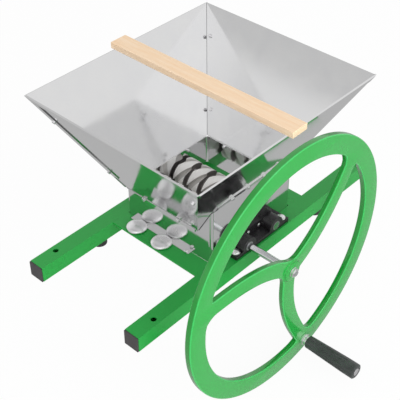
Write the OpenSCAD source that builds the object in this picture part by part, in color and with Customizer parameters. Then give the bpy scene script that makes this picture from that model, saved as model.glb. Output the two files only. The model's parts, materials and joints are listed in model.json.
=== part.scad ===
// Hand-cranked fruit crusher: two toothed rollers under a sheet hopper, turned by a large flywheel.
// X runs along the shafts towards the flywheel, Y along the rails, Z up.
// The origin is the centre of the four mounting holes, on the rails' underside.

/* [Frame] */
// Side of the rails' square tube
tube = 30; // [26:1:40]
// Wall of the square tube
tube_wall = 2; // [1.5:0.5:3]
// Length of a rail without its plugs
rail_len = 610; // [560:10:700]
// Gap between the two rails
rail_gap = 200; // [196:1:230]
// Pitch of the mounting holes across the rails
hole_pitch_x = 236; // [230:1:240]
// Distance of a mounting hole from its rail's end
hole_from_end = 45; // [25:1:60]
// Diameter of a mounting hole
hole_d = 10; // [6:0.5:12]
// Width of a crossbar's top flange
crossbar_w = 38; // [30:1:50]
// Thickness of a crossbar's flanges
crossbar_t = 3; // [2:0.5:4]
// Thickness of an end plug's cap
plug_t = 3; // [2:0.5:5]
// Depth of an end plug inside the tube
plug_depth = 14; // [8:1:20]
// Diameter of a rubber foot
foot_d = 28; // [20:1:30]
// Height of a rubber foot
foot_h = 12; // [10:1:20]
// Pitch of the feet along a rail
foot_pitch = 330; // [300:5:360]

/* [Crusher box] */
// Thickness of the sheet of box and hopper
sheet = 1.5; // [1:0.1:2]
// Length of the box along the rails
box_len = 210; // [205:1:230]
// Height of the box walls above the rails
box_rise = 59; // [50:1:70]
// Width of the gear pocket beside the rollers, outside size
pocket_w = 29.3; // [28:0.1:34]
// Outer radius of the box's upright corners
box_corner_r = 6; // [4:0.5:10]
// Width of the flange that stands on a crossbar
tab_w = 9; // [6:0.5:14]
// Length of the flange that stands on a crossbar
tab_len = 140; // [120:5:160]

/* [Hopper] */
// Width of the hopper at its rim, across the rails
rim_w = 378; // [340:2:420]
// Length of the hopper at its rim, along the rails
rim_len = 432; // [400:2:470]
// Height of the hopper above the box
hopper_h = 197.5; // [160:2.5:230]
// Width of the folded hem at the rim
hem_w = 12; // [8:1:16]
// Height of the skirt that laps the box
skirt_h = 8; // [8:1:14]
// Width of the flanges at the hopper's corners
corner_w = 18; // [14:1:22]
// Thread of the sheet bolts
sheet_bolt_d = 4; // [3:0.5:5]

/* [Rollers and gears] */
// Diameter of the two roller shafts
shaft_d = 14; // [12:0.5:15]
// Height of the shafts above the rails
shaft_lift = 11; // [10:0.5:13]
// Module of the gear teeth
gear_module = 3; // [2.9:0.02:3.1]
// Number of teeth of each gear
gear_teeth = 24; // [23:1:25]
// Width of a gear's toothed band
gear_w = 16; // [12:1:17]
// Number of toothed bands on a roller
band_count = 5; // [3:1:5]
// Width of a toothed band
band_w = 24.8; // [20:0.2:25]
// Width of the groove between two bands
groove_w = 10.4; // [8:0.2:10.6]
// Outer radius of a toothed band
band_r = 33; // [30:0.5:33]
// Depth of the notch in front of each blade
notch_depth = 7; // [4:0.5:7.5]
// Number of blades on a band
blades = 4; // [3:1:5]
// Number of fine ribs behind each blade
ribs = 10; // [6:1:12]
// Height of a fine rib
rib_h = 1; // [0.6:0.1:1.5]
// Radius of the roller between its bands
core_r = 23; // [20:0.5:24]

/* [Bearing brackets] */
// Width of a bracket along the shafts
bracket_w = 27; // [24:0.5:29]
// Length of a bracket along its rail
bracket_len = 140; // [136:1:160]
// Thickness of a bracket's foot
bracket_foot = 8; // [6:0.5:10]
// Thickness of a bracket's back plate
bracket_back = 5; // [4:0.5:8]
// Outer radius of a bearing boss
boss_r = 17; // [15:0.5:18]
// Outer diameter of a bearing bush
bush_d = 18; // [17.5:0.5:20]
// Thread of the bolts that hold a bracket
bracket_bolt_d = 8; // [6:1:10]
// Pitch of those bolts along the rail
bracket_bolt_pitch = 122; // [118:1:126]
// Diameter of the domed buttons on the crossbars
button_d = 38; // [30:1:40]

/* [Flywheel] */
// Diameter of the flywheel
wheel_d = 490; // [440:5:520]
// Width of the flywheel's rim, seen from the front
wheel_rim_w = 36; // [30:1:44]
// Thickness of the flywheel's rim
wheel_t = 12; // [10:1:18]
// Radius of the rim's rounded edges
wheel_edge_r = 2.5; // [1:0.5:4]
// Distance from the bracket to the back of the rim
wheel_gap = 77.8; // [60:1:100]
// Width of a spoke
spoke_w = 31; // [24:1:34]
// Thickness of a spoke
spoke_t = 10; // [8:1:10]
// Number of spokes
spokes = 3; // [3:1:5]
// Angle that a spoke sweeps from hub to rim
spoke_sweep = 24.8; // [0:1:40]
// Diameter of the flywheel's hub
hub_d = 38; // [37:1:44]
// Diameter of the crank shaft outside its bearing
neck_d = 12.5; // [12.1:0.1:13.5]
// Thread at the crank shaft's end
end_thread_d = 10; // [8:0.5:12]

/* [Handle] */
// Distance of the handle's axis inside the flywheel's edge
handle_inset = 27.5; // [24:0.5:30]
// Direction of the handle at rest, from +Y towards +Z
handle_angle = 285; // [270:1:300]
// Length of the grip
grip_len = 107; // [90:1:125]
// Largest diameter of the grip
grip_d = 29; // [24:1:34]
// Diameter of the grip beside the flywheel
grip_base_d = 24; // [21:1:26]
// Diameter of the spindle inside the grip
spindle_d = 10; // [8:0.5:12]

/* [Pusher bar] */
// Reach of the wooden bar past the rim at each end
bar_reach = 11; // [5:1:40]
// Width of the wooden bar
bar_w = 35; // [25:1:50]
// Thickness of the wooden bar
bar_t = 12; // [8:1:20]

/* [Hidden] */
$fn = 64;

frame_green = "#2C9A46";
steel = "#CFCFCF";
cast_black = "#2B2A2C";
rubber_black = "#3A3839";
wheel_green = "#4DB861";
wood = "#F3C99B";
bush_grey = "#A8A8A8";

// Clearances shared by all pieces
overrun = 1;
seat_gap = 0.1;
slip_gap = 0.02;
running_gap = 0.05;
box_play = 0.2;

// Frame
rail_x = (rail_gap + tube) / 2;
hole_pitch_y = rail_len - 2 * hole_from_end;
plug_play = 0.2;
plug_edge = 0.5;
screw_d = 5;
screw_head_d = 10;
screw_head_h = 3;
screw_len = 14;

// Crusher box
box_w = rail_gap - 2 * box_play;
box_x = box_w / 2;
box_y = box_len / 2;
box_top = tube + box_rise;
mouth_x = box_x - pocket_w;
hopper_cx = (mouth_x - box_x) / 2;
mouth_half = (mouth_x + box_x) / 2;
side_tilt = atan((rim_w / 2 - mouth_half) / hopper_h);
end_tilt = atan((rim_len / 2 - box_y) / hopper_h);
side_slope = hopper_h / cos(side_tilt);
end_slope = hopper_h / cos(end_tilt);
sheet_across = sheet / cos(side_tilt);
pocket_top = box_top + (box_x - mouth_x - sheet_across) / tan(side_tilt);
seam_w = 12;
tab_cx = -14;
partition_top = box_top - sheet * sin(side_tilt) - seat_gap;
partition_lip = 14;
partition_play = 2;

// Heads and nuts, as shares of their bolt's thread
head_af_share = 1.6;
head_h_share = 0.7;
nut_h_share = 0.8;
bolt_head_share = 2.1;
bolt_dome_share = 0.55;

// Shafts
shaft_z = tube + shaft_lift;
pitch_r = gear_module * gear_teeth / 2;
shaft_y = pitch_r;
roller_len = band_count * band_w + (band_count - 1) * groove_w;
roller_x0 = (mouth_x - box_x + sheet - roller_len) / 2;
gear_side_gap = 3.5;
gear_x0 = mouth_x + sheet + gear_side_gap;
gear_hub_step = 2;
key_w = 4;
pin_d = 5;
band_turn = 24;

// Brackets
bracket_x = box_x;
bracket_end = bracket_x + bracket_w;
bracket_bolt_share = 0.63;
bracket_bolt_x = bracket_x + bracket_w * bracket_bolt_share;
wall_screw_share = 1.2;
wall_screw_y = shaft_y - boss_r - sheet_bolt_d * wall_screw_share;
wall_screw_z = shaft_z + 3;
web_h = 24;

// Flywheel
wheel_back = bracket_end + wheel_gap;
wheel_front = wheel_back + wheel_t;
wheel_r = wheel_d / 2;
wheel_hole_r = wheel_r - wheel_rim_w;
hub_proud = 3.4;
hub_front = wheel_front + hub_proud;
washer_t = 1.5;
nut_t = 5;
nut_af = 15.5;
nut_dome_share = 1.6;
thread_stub = 0.8;
hub_washer_d = 18;

// Handle
handle_r = wheel_r - handle_inset;
handle_y = -shaft_y + handle_r * cos(handle_angle);
handle_z = shaft_z + handle_r * sin(handle_angle);
collar_t = 5.5;
collar_d = 22;
collar_step = 3;
grip_x0 = wheel_front + 2 * collar_t + seat_gap;
grip_end = grip_x0 + grip_len;
spindle_head_d = 15;
spindle_head_t = 3;
handle_nut_af = 17;
handle_nut_t = 8;

// Draws its children, made in the YZ plane, along +X from the plane at x
module along_x(x, y = 0, z = 0) {
    translate([x, y, z]) rotate([90, 0, 90]) children();
}

// Repeats its children at both ends of the machine
module both_ends() {
    for (flip = [0, 1]) mirror([0, flip, 0]) children();
}

// Repeats its children on both sides of the machine
module both_sides() {
    for (flip = [0, 1]) mirror([flip, 0, 0]) children();
}

module hex_prism(across_flats, h) {
    cylinder(h = h, d = across_flats / cos(30), $fn = 6);
}

// Hexagon-head bolt with its nut run on: head above z = 0, grip below it
module sheet_bolt(grip) {
    head_af = sheet_bolt_d * head_af_share;
    head_h = sheet_bolt_d * head_h_share;
    translate([0, 0, seat_gap]) hex_prism(head_af, head_h);
    translate([0, 0, -grip - head_h]) cylinder(h = grip + head_h + sheet_bolt_d / 2, d = sheet_bolt_d);
    translate([0, 0, -grip - seat_gap - head_h]) hex_prism(head_af, head_h);
}

// Clearance hole for a sheet bolt through one or two sheets about z = 0
module bolt_hole() {
    translate([0, 0, -2 * sheet]) cylinder(h = 4 * sheet, d = sheet_bolt_d + 2 * seat_gap);
}

// Low dome on a flat base at z = 0
module dome(d, h) {
    ball_r = (d * d / 4 + h * h) / (2 * h);
    intersection() {
        translate([0, 0, h - ball_r]) sphere(r = ball_r);
        cylinder(h = h, d = d);
    }
}

// Frame
module rail() {
    color(frame_green) difference() {
        translate([rail_x - tube / 2, -rail_len / 2, 0]) cube([tube, rail_len, tube]);
        translate([rail_x - tube / 2 + tube_wall, -rail_len / 2 - overrun, tube_wall])
            cube([tube - 2 * tube_wall, rail_len + 2 * overrun, tube - 2 * tube_wall]);
        both_ends() {
            translate([hole_pitch_x / 2, hole_pitch_y / 2, -overrun])
                cylinder(h = tube + 2 * overrun, d = hole_d);
            translate([bracket_bolt_x, bracket_bolt_pitch / 2, -overrun])
                cylinder(h = tube + 2 * overrun, d = bracket_bolt_d + 2 * seat_gap);
            translate([rail_x, foot_pitch / 2, -overrun])
                cylinder(h = tube_wall + 2 * overrun, d = screw_d + 2 * seat_gap);
        }
    }
}

module rail_right() {
    rail();
}

module rail_left() {
    mirror([1, 0, 0]) rail();
}

module crossbar() {
    inner_y = box_y + box_play;
    color(frame_green) difference() {
        union() {
            translate([-rail_gap / 2, inner_y, tube - crossbar_t])
                cube([rail_gap, crossbar_w, crossbar_t]);
            translate([-rail_gap / 2, inner_y, 0]) cube([rail_gap, crossbar_t, tube]);
        }
        for (x = button_places) translate([x, button_y, -overrun])
            cylinder(h = tube + 2 * overrun, d = bracket_bolt_d + 2 * seat_gap);
        translate([tab_bolt_x, tab_bolt_y, tube - crossbar_t - overrun])
            cylinder(h = crossbar_t + 2 * overrun, d = sheet_bolt_d + 2 * seat_gap);
    }
}

module crossbar_front() {
    mirror([0, 1, 0]) crossbar();
}

module crossbar_rear() {
    crossbar();
}

module rail_plugs() {
    core = tube - 2 * tube_wall - 2 * plug_play;
    color(rubber_black) both_sides() both_ends() {
        translate([rail_x - tube / 2, rail_len / 2 + seat_gap, 0]) cube([tube, plug_t, tube]);
        translate([rail_x - core / 2, rail_len / 2 - plug_depth, (tube - core) / 2])
            cube([core, plug_depth + plug_t / 2, core]);
    }
}

module rubber_feet() {
    color(rubber_black) both_sides() both_ends() translate([rail_x, foot_pitch / 2, -foot_h])
        difference() {
            cylinder(h = foot_h - seat_gap, d = foot_d);
            translate([0, 0, -overrun]) cylinder(h = foot_h + 2 * overrun, d = screw_d + 2 * seat_gap);
            translate([0, 0, -overrun]) cylinder(h = foot_h / 2 + overrun, d = screw_head_d + 2 * seat_gap);
        }
}

module foot_screws() {
    color(steel) both_sides() both_ends() translate([rail_x, foot_pitch / 2, -foot_h / 2 - seat_gap]) {
        translate([0, 0, -screw_head_h]) cylinder(h = screw_head_h, d = screw_head_d);
        translate([0, 0, -screw_head_h / 2]) cylinder(h = screw_len, d = screw_d);
    }
}

// Crusher box
module box_outline(inset) {
    r = box_corner_r - inset;
    for (sx = [-1, 1]) for (sy = [-1, 1])
        translate([sx * (box_x - box_corner_r), sy * (box_y - box_corner_r)]) circle(r = r);
    square([box_w - 2 * inset, box_len - 2 * box_corner_r], center = true);
    square([box_w - 2 * box_corner_r, box_len - 2 * inset], center = true);
}

// Side view of the box, from the rails' top up: low over the rollers, high over the gear pocket
wall_drop = (seat_gap + sheet / 3) / sin(side_tilt);
module box_side() {
    slope_x = mouth_x + sheet_across + (wall_drop - seat_gap) * tan(side_tilt);
    polygon([[-box_x - overrun, tube], [box_x + overrun, tube],
        [box_x + overrun, pocket_top + overrun / tan(side_tilt) - wall_drop],
        [slope_x, box_top - seat_gap], [-box_x - overrun, box_top - seat_gap]]);
}

module shaft_holes(x0, x1, d) {
    for (y = [-shaft_y, shaft_y]) along_x(x0, y, shaft_z) cylinder(h = x1 - x0, d = d);
}

module crusher_box() {
    color(steel) difference() {
        union() {
            intersection() {
                difference() {
                    linear_extrude(height = pocket_top + overrun) box_outline(0);
                    translate([0, 0, -overrun]) linear_extrude(height = pocket_top + 3 * overrun)
                        box_outline(sheet);
                }
                translate([0, box_len / 2 + overrun, 0]) rotate([90, 0, 0])
                    linear_extrude(height = box_len + 2 * overrun) box_side();
            }
            both_ends() translate([tab_cx - tab_len / 2, box_y - sheet / 2, tube])
                cube([tab_len, tab_w + sheet / 2, sheet]);
            seam_flange();
        }
        shaft_holes(-box_x - overrun, -box_x + sheet + overrun, bush_d);
        shaft_holes(box_x - sheet - overrun, box_x + overrun, bush_d);
        both_sides() both_ends() along_x(box_x - sheet - overrun, wall_screw_y, wall_screw_z)
            cylinder(h = sheet + 2 * overrun, d = sheet_bolt_d);
        both_ends() skirt_bolt_places() bolt_hole();
        side_bolt_places() bolt_hole();
        both_ends() translate([tab_bolt_x, tab_bolt_y, tube - overrun])
            cylinder(h = sheet + 2 * overrun, d = sheet_bolt_d + 2 * seat_gap);
        seam_bolt_places() translate([0, 0, -overrun])
            cylinder(h = 2 * sheet + 2 * overrun, d = sheet_bolt_d + 2 * seat_gap);
    }
}

// Local frame of the right panel: x along Y, y up the slope, z outwards, origin at the mouth's edge
module on_right_panel() {
    translate([mouth_x, 0, box_top]) rotate([0, side_tilt, 0]) rotate([90, 0, 90]) children();
}

module on_left_panel() {
    translate([2 * hopper_cx, 0, 0]) mirror([1, 0, 0]) on_right_panel() children();
}

// Local frame of the rear panel: x along X, y up the slope, z outwards, origin at the mouth's middle
module on_back_panel() {
    translate([hopper_cx, box_y, box_top]) rotate([90 - end_tilt, 0, 0]) mirror([0, 0, 1]) children();
}

module on_front_panel() {
    mirror([0, 1, 0]) on_back_panel() children();
}

// Distance up the right panel at which the box's outer wall meets it
seam_v = pocket_w / sin(side_tilt);
seam_len = box_len - 2 * box_corner_r;

seam_root = ((sheet + seat_gap) * cos(side_tilt) + sheet / 2) / sin(side_tilt);
module seam_flange() {
    on_right_panel() translate([-seam_len / 2, seam_v - seam_root, sheet + seat_gap])
        cube([seam_len, seam_w + seam_root, sheet]);
}

seam_bolt_shares = [-0.286, -0.1, 0.1, 0.286];
module seam_bolt_places() {
    on_right_panel() for (share = seam_bolt_shares)
        translate([share * box_len, seam_v + seam_w / 2, sheet + seat_gap]) children();
}

skirt_bolt_shares = [-0.24, 0.24];
module skirt_bolt_places() {
    for (share = skirt_bolt_shares)
        translate([hopper_cx + share * 2 * mouth_half, box_y, box_top - skirt_h / 2])
            rotate([-90, 0, 0]) children();
}

module side_bolt_places() {
    for (share = skirt_bolt_shares)
        translate([-box_x, share * box_len, box_top - skirt_h / 2]) rotate([0, -90, 0]) children();
}

// Wall between the rollers and the gears
module gear_partition() {
    inner_y = box_y - sheet - seat_gap;
    wall_h = partition_top - tube;
    color(steel) difference() {
        union() {
            translate([mouth_x, -inner_y, tube]) cube([sheet, 2 * inner_y, wall_h]);
            both_ends() translate([mouth_x, inner_y - sheet, tube])
                cube([partition_lip, sheet, wall_h - sheet - skirt_h]);
        }
        shaft_holes(mouth_x - overrun, mouth_x + sheet + overrun, shaft_d + partition_play);
    }
}

// Hopper
hem_gap = 0.6;

// Half width of a panel at a distance v up its slope
function half_at(v, low, high, slope) = low + (high - low) * v / slope;

module panel_sheet(low, high, slope, grow) {
    linear_extrude(height = sheet) polygon([[-low - grow, 0], [low + grow, 0],
        [high + grow, slope], [-high - grow, slope]]);
}

module panel_hem(low, high, slope) {
    bottom = half_at(slope - hem_w, low, high, slope) - hem_gap;
    translate([0, 0, sheet / 2]) linear_extrude(height = 1.5 * sheet)
        polygon([[-bottom, slope - hem_w], [bottom, slope - hem_w], [high - hem_gap, slope],
            [-high + hem_gap, slope]]);
}

// Skirt below a panel, outside the wall that it laps
module panel_skirt(half_len, tilt) {
    rotate([-tilt, 0, 0]) translate([-half_len, -skirt_h, seat_gap])
        cube([2 * half_len, skirt_h + sheet * tan(tilt), sheet]);
}

module skirt_holes(length) {
    for (share = skirt_bolt_shares) translate([share * length, -skirt_h / 2, -overrun])
        cylinder(h = 2 * sheet + 2 * overrun, d = sheet_bolt_d + 2 * seat_gap);
}

corner_low = 30;
corner_bolt_shares = [0.21, 0.76];

// Flange on a side panel's edge that lies outside the end panel, drawn in the end panel's frame
module corner_flange(side) {
    low_v = corner_low;
    high_v = end_slope - hem_w - hem_gap;
    edge_low = half_at(low_v, mouth_half, rim_w / 2, end_slope) + corner_lap;
    edge_high = half_at(high_v, mouth_half, rim_w / 2, end_slope) + corner_lap;
    translate([0, 0, sheet + seat_gap]) linear_extrude(height = sheet)
        polygon([[side * edge_low, low_v], [side * (edge_low - corner_w), low_v + corner_w / 3],
            [side * (edge_high - corner_w), high_v], [side * edge_high, high_v]]);
}

corner_lap = 0.4 * sheet;
side_lap = 2.1 * sheet;
end_inset = 0.4 * sheet;

module corner_bolt_places(side) {
    for (share = corner_bolt_shares) {
        v = share * end_slope;
        translate([side * (half_at(v, mouth_half, rim_w / 2, end_slope) - corner_w / 2), v,
            2 * sheet + seat_gap]) children();
    }
}

module hopper_end() {
    color(steel) on_back_panel() difference() {
        union() {
            panel_sheet(mouth_half, rim_w / 2, end_slope, -end_inset);
            panel_hem(mouth_half, rim_w / 2, end_slope);
            panel_skirt(mouth_half - box_corner_r, end_tilt);
        }
        for (side = [-1, 1]) corner_bolt_places(side) translate([0, 0, -3 * sheet])
            cylinder(h = 4 * sheet, d = sheet_bolt_d + 2 * seat_gap);
        rotate([-end_tilt, 0, 0]) skirt_holes(2 * mouth_half);
    }
}

module hopper_back() {
    hopper_end();
}

module hopper_front() {
    mirror([0, 1, 0]) hopper_end();
}

module hopper_side() {
    difference() {
        union() {
            on_right_panel() {
                panel_sheet(box_y, rim_len / 2, side_slope, side_lap);
                panel_hem(box_y, rim_len / 2, side_slope);
            }
            both_ends() on_back_panel() corner_flange(1);
        }
        both_ends() on_back_panel() corner_bolt_places(1) translate([0, 0, -3 * sheet])
            cylinder(h = 4 * sheet, d = sheet_bolt_d + 2 * seat_gap);
    }
}

module hopper_right() {
    color(steel) difference() {
        hopper_side();
        seam_bolt_places() translate([0, 0, -2 * sheet])
            cylinder(h = 3 * sheet, d = sheet_bolt_d + 2 * seat_gap);
    }
}

// The left panel has a skirt outside the box, where the right one ends on the partition
module hopper_left() {
    color(steel) {
        translate([2 * hopper_cx, 0, 0]) mirror([1, 0, 0]) hopper_side();
        on_left_panel() difference() {
            panel_skirt(box_y - box_corner_r, side_tilt);
            rotate([-side_tilt, 0, 0]) skirt_holes(box_len);
        }
    }
}

module corner_bolts() {
    color(steel) both_ends() on_back_panel() for (side = [-1, 1])
        corner_bolt_places(side) sheet_bolt(2 * sheet + seat_gap);
}

module skirt_bolts() {
    color(steel) {
        both_ends() skirt_bolt_places() translate([0, 0, sheet + seat_gap])
            sheet_bolt(2 * sheet + seat_gap);
        side_bolt_places() translate([0, 0, sheet + seat_gap]) sheet_bolt(2 * sheet + seat_gap);
    }
}

module seam_bolts() {
    color(steel) seam_bolt_places() translate([0, 0, sheet]) sheet_bolt(2 * sheet + seat_gap);
}

// Bearing brackets
bell_shares = [[1.35, 0], [1.15, 0.35], [0.9, 1.05], [0.66, 1.8], [0.2, 2.42]];

module bell_outline() {
    polygon(concat([for (p = bell_shares) [p[0] * boss_r, p[1] * boss_r]],
        [for (i = [len(bell_shares) - 1:-1:0]) [-bell_shares[i][0] * boss_r, bell_shares[i][1] * boss_r]]));
}

module bracket() {
    color(cast_black) difference() {
        union() {
            translate([bracket_x, -bracket_len / 2, tube]) cube([bracket_w, bracket_len, bracket_foot]);
            intersection() {
                shaft_holes(bracket_x, bracket_end, 2 * boss_r);
                translate([bracket_x, -bracket_len / 2, tube])
                    cube([bracket_w, bracket_len, shaft_z + boss_r]);
            }
            for (y = [-shaft_y, shaft_y]) along_x(bracket_x, y, tube)
                linear_extrude(height = bracket_back) bell_outline();
            translate([bracket_x, -shaft_y, tube]) cube([bracket_back, 2 * shaft_y, web_h]);
        }
        shaft_holes(bracket_x - overrun, bracket_end + overrun, bush_d + 2 * slip_gap);
        both_ends() {
            translate([bracket_bolt_x, bracket_bolt_pitch / 2, tube - overrun])
                cylinder(h = bracket_foot + 2 * overrun, d = bracket_bolt_d + 2 * seat_gap);
            along_x(bracket_x - overrun, wall_screw_y, wall_screw_z)
                cylinder(h = bracket_back + 2 * overrun, d = sheet_bolt_d + 2 * seat_gap);
        }
    }
}

module bracket_right() {
    bracket();
}

module bracket_left() {
    mirror([1, 0, 0]) bracket();
}

module bracket_bolts() {
    head_d = bracket_bolt_d * bolt_head_share;
    nut_h = bracket_bolt_d * nut_h_share;
    color(steel) both_sides() both_ends() translate([bracket_bolt_x, bracket_bolt_pitch / 2, 0]) {
        translate([0, 0, tube + bracket_foot + seat_gap])
            dome(head_d, bracket_bolt_d * bolt_dome_share);
        translate([0, 0, -nut_h]) cylinder(h = tube + bracket_foot + nut_h + overrun, d = bracket_bolt_d);
        translate([0, 0, -nut_h - seat_gap]) hex_prism(bracket_bolt_d * head_af_share, nut_h);
    }
}

module wall_screws() {
    color(steel) both_sides() both_ends() along_x(bracket_x, wall_screw_y, wall_screw_z) {
        translate([0, 0, bracket_back + seat_gap]) dome(sheet_bolt_d * bolt_head_share, sheet_bolt_d / 2);
        translate([0, 0, -sheet + seat_gap]) cylinder(h = sheet + bracket_back + overrun,
            d = sheet_bolt_d - 2 * slip_gap);
    }
}

module shaft_bushes() {
    color(bush_grey) both_sides() difference() {
        shaft_holes(bracket_x - sheet, bracket_end, bush_d - 2 * slip_gap);
        shaft_holes(bracket_x - sheet - overrun, bracket_end + overrun, shaft_d + 2 * running_gap);
    }
}

// Domed buttons that clamp the box's flange to a crossbar
button_places = [-58, 2];
button_y = box_y + box_play + button_d / 2;
button_h = 6.5;
module clamp_buttons() {
    nut_h = bracket_bolt_d * nut_h_share;
    color(steel) both_ends() for (x = button_places) translate([x, button_y, 0]) {
        translate([0, 0, tube + sheet + seat_gap]) dome(button_d, button_h);
        translate([0, 0, tube - crossbar_t - nut_h])
            cylinder(h = crossbar_t + nut_h + sheet + overrun, d = bracket_bolt_d);
        translate([0, 0, tube - crossbar_t - nut_h - seat_gap])
            hex_prism(bracket_bolt_d * head_af_share, nut_h);
    }
}

tab_bolt_inset = 7;
tab_bolt_x = tab_cx + tab_len / 2 - tab_bolt_inset;
tab_bolt_y = box_y + crossbar_t + tab_w / 2;
module tab_bolts() {
    color(steel) both_ends() translate([tab_bolt_x, tab_bolt_y, tube + sheet])
        sheet_bolt(sheet + crossbar_t);
}

// Toothed outline of a roller band: ribs on a round back, then a notch in front of each blade
function arm(r, a) = [r * cos(a), r * sin(a)];
notch_share = 0.3;
rib_share = 0.6;
blade_angle = 2;
module band_outline() {
    step = 360 / blades;
    back = step * (1 - notch_share);
    rib_step = back / ribs;
    polygon([for (b = [0:blades - 1]) for (p = concat(
        [for (i = [0:ribs - 1]) each [arm(band_r, b * step + i * rib_step),
            arm(band_r - rib_h, b * step + (i + rib_share) * rib_step)]],
        [arm(band_r - rib_h, b * step + back),
            arm(band_r - notch_depth, b * step + step - blade_angle)])) p]);
}

module roller(y, lead) {
    difference() {
        union() {
            for (i = [0:band_count - 1]) along_x(roller_x0 + i * (band_w + groove_w), y, shaft_z)
                rotate(lead * i * band_turn) linear_extrude(height = band_w) band_outline();
            along_x(roller_x0, y, shaft_z) cylinder(h = roller_len, r = core_r);
        }
        along_x(roller_x0 - overrun, y, shaft_z)
            cylinder(h = roller_len + 2 * overrun, d = shaft_d + 2 * slip_gap);
        pin_hole(y, pin_d + 2 * slip_gap);
    }
}

module pin_hole(y, d) {
    translate([roller_x0 + band_w + groove_w / 2, y, shaft_z - core_r - overrun])
        cylinder(h = 2 * core_r + 2 * overrun, d = d);
}

module roller_pin(y) {
    translate([roller_x0 + band_w + groove_w / 2, y, shaft_z - core_r + seat_gap])
        cylinder(h = 2 * core_r - 2 * seat_gap, d = pin_d);
}

module front_roller() {
    color(steel) roller(-shaft_y, 1);
}

module rear_roller() {
    color(steel) mirror([0, 1, 0]) roller(-shaft_y, 1);
}

module front_roller_pin() {
    color(steel) roller_pin(-shaft_y);
}

module rear_roller_pin() {
    color(steel) roller_pin(shaft_y);
}

// Gears
pressure = 20;
backlash = 0.15;
base_r = pitch_r * cos(pressure);
tip_r = pitch_r + gear_module;
root_r = pitch_r - 1.25 * gear_module;
function involute(a) = tan(a) * 180 / PI - a;
function tooth_half(r) = 90 / gear_teeth - backlash / pitch_r * 180 / PI + involute(pressure)
    - involute(acos(min(1, base_r / r)));
flank_steps = 4;
flank_radii = concat([root_r], [for (i = [0:flank_steps]) base_r + (tip_r - base_r) * i / flank_steps]);
module gear_outline() {
    polygon([for (k = [0:gear_teeth - 1]) let (mid = k * 360 / gear_teeth) each concat(
        [for (r = flank_radii) arm(r, mid - tooth_half(max(r, base_r)))],
        [for (i = [len(flank_radii) - 1:-1:0])
            arm(flank_radii[i], mid + tooth_half(max(flank_radii[i], base_r)))])]);
}

module gear(y, turn) {
    hub_x = gear_x0 - gear_hub_step;
    hub_w = gear_w + 2 * gear_hub_step;
    color(steel) difference() {
        union() {
            along_x(gear_x0, y, shaft_z) rotate(turn) linear_extrude(height = gear_w) gear_outline();
            along_x(hub_x, y, shaft_z) cylinder(h = hub_w, r = shaft_d);
        }
        along_x(hub_x - overrun, y, shaft_z)
            cylinder(h = hub_w + 2 * overrun, d = shaft_d + 2 * slip_gap);
        key(hub_x - overrun, hub_w + 2 * overrun, y, shaft_d, slip_gap);
    }
}

module drive_gear() {
    gear(-shaft_y, 0);
}

module driven_gear() {
    gear(shaft_y, 180 + 180 / gear_teeth);
}

// Square key on top of a shaft, half in the shaft and half above it
module key(x, length, y, d, gap) {
    translate([x, y - key_w / 2 - gap, shaft_z + d / 2 - key_w / 2 - gap])
        cube([length, key_w + 2 * gap, key_w + 2 * gap]);
}

// Shafts
wheel_key_len = wheel_t;
module crank_shaft() {
    tip = hub_front + washer_t + nut_t + thread_stub;
    color(steel) difference() {
        union() {
            along_x(-bracket_end, -shaft_y, shaft_z) cylinder(h = 2 * bracket_end, d = shaft_d);
            along_x(bracket_end, -shaft_y, shaft_z) cylinder(h = wheel_gap, d = neck_d);
            along_x(wheel_back - overrun, -shaft_y, shaft_z)
                cylinder(h = tip - wheel_back + overrun, d = end_thread_d);
        }
        pin_hole(-shaft_y, pin_d + 2 * slip_gap);
        key(gear_x0, gear_w, -shaft_y, shaft_d, slip_gap);
        key(wheel_back + overrun, wheel_key_len, -shaft_y, end_thread_d, slip_gap);
    }
}

module crank_keys() {
    color(steel) {
        key(gear_x0 + seat_gap, gear_w - 2 * seat_gap, -shaft_y, shaft_d, 0);
        key(wheel_back + overrun + seat_gap, wheel_key_len - 2 * seat_gap, -shaft_y, end_thread_d, 0);
    }
}

module idler_shaft() {
    color(steel) difference() {
        along_x(-bracket_end, shaft_y, shaft_z) cylinder(h = 2 * bracket_end, d = shaft_d);
        pin_hole(shaft_y, pin_d + 2 * slip_gap);
        key(gear_x0, gear_w, shaft_y, shaft_d, slip_gap);
    }
}

module idler_key() {
    color(steel) key(gear_x0 + seat_gap, gear_w - 2 * seat_gap, shaft_y, shaft_d, 0);
}

// Flywheel
fillet_near = 6;
fillet_far = 22;
spoke_bend = 1.3;
function spoke_angle(r) = handle_angle - spoke_sweep * pow(max(0, 1 - r / handle_r), spoke_bend);
function flare(r, fillet) = let (d = max(0, fillet - (wheel_hole_r - r)))
    fillet - sqrt(max(0, fillet * fillet - d * d));
function spoke_side(r, side, fillet) = let (a = spoke_angle(r), half = spoke_w / 2 + flare(r, fillet))
    [r * cos(a) - side * half * sin(a), r * sin(a) + side * half * cos(a)];
spoke_rows = 24;
rim_bite = wheel_rim_w / 3;
spoke_reach = wheel_hole_r + rim_bite;
spoke_radii = concat([for (i = [0:spoke_rows]) wheel_hole_r * i / spoke_rows], [spoke_reach]);

function rooted(r, side, fillet) = spoke_side(min(r, wheel_hole_r), side, fillet)
    + (r > wheel_hole_r ? arm(rim_bite, handle_angle) : [0, 0]);

module spoke_outline() {
    polygon(concat([for (r = spoke_radii) rooted(r, 1, fillet_far)],
        [for (i = [spoke_rows + 1:-1:0]) rooted(spoke_radii[i], -1, fillet_near)]));
}

module rim_section() {
    w = wheel_rim_w;
    e = wheel_edge_r;
    translate([wheel_hole_r, 0]) {
        translate([e, 0]) square([w - 2 * e, wheel_t]);
        translate([0, e]) square([w, wheel_t - 2 * e]);
        for (x = [e, w - e]) for (y = [e, wheel_t - e]) translate([x, y]) circle(r = e);
    }
}

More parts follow.
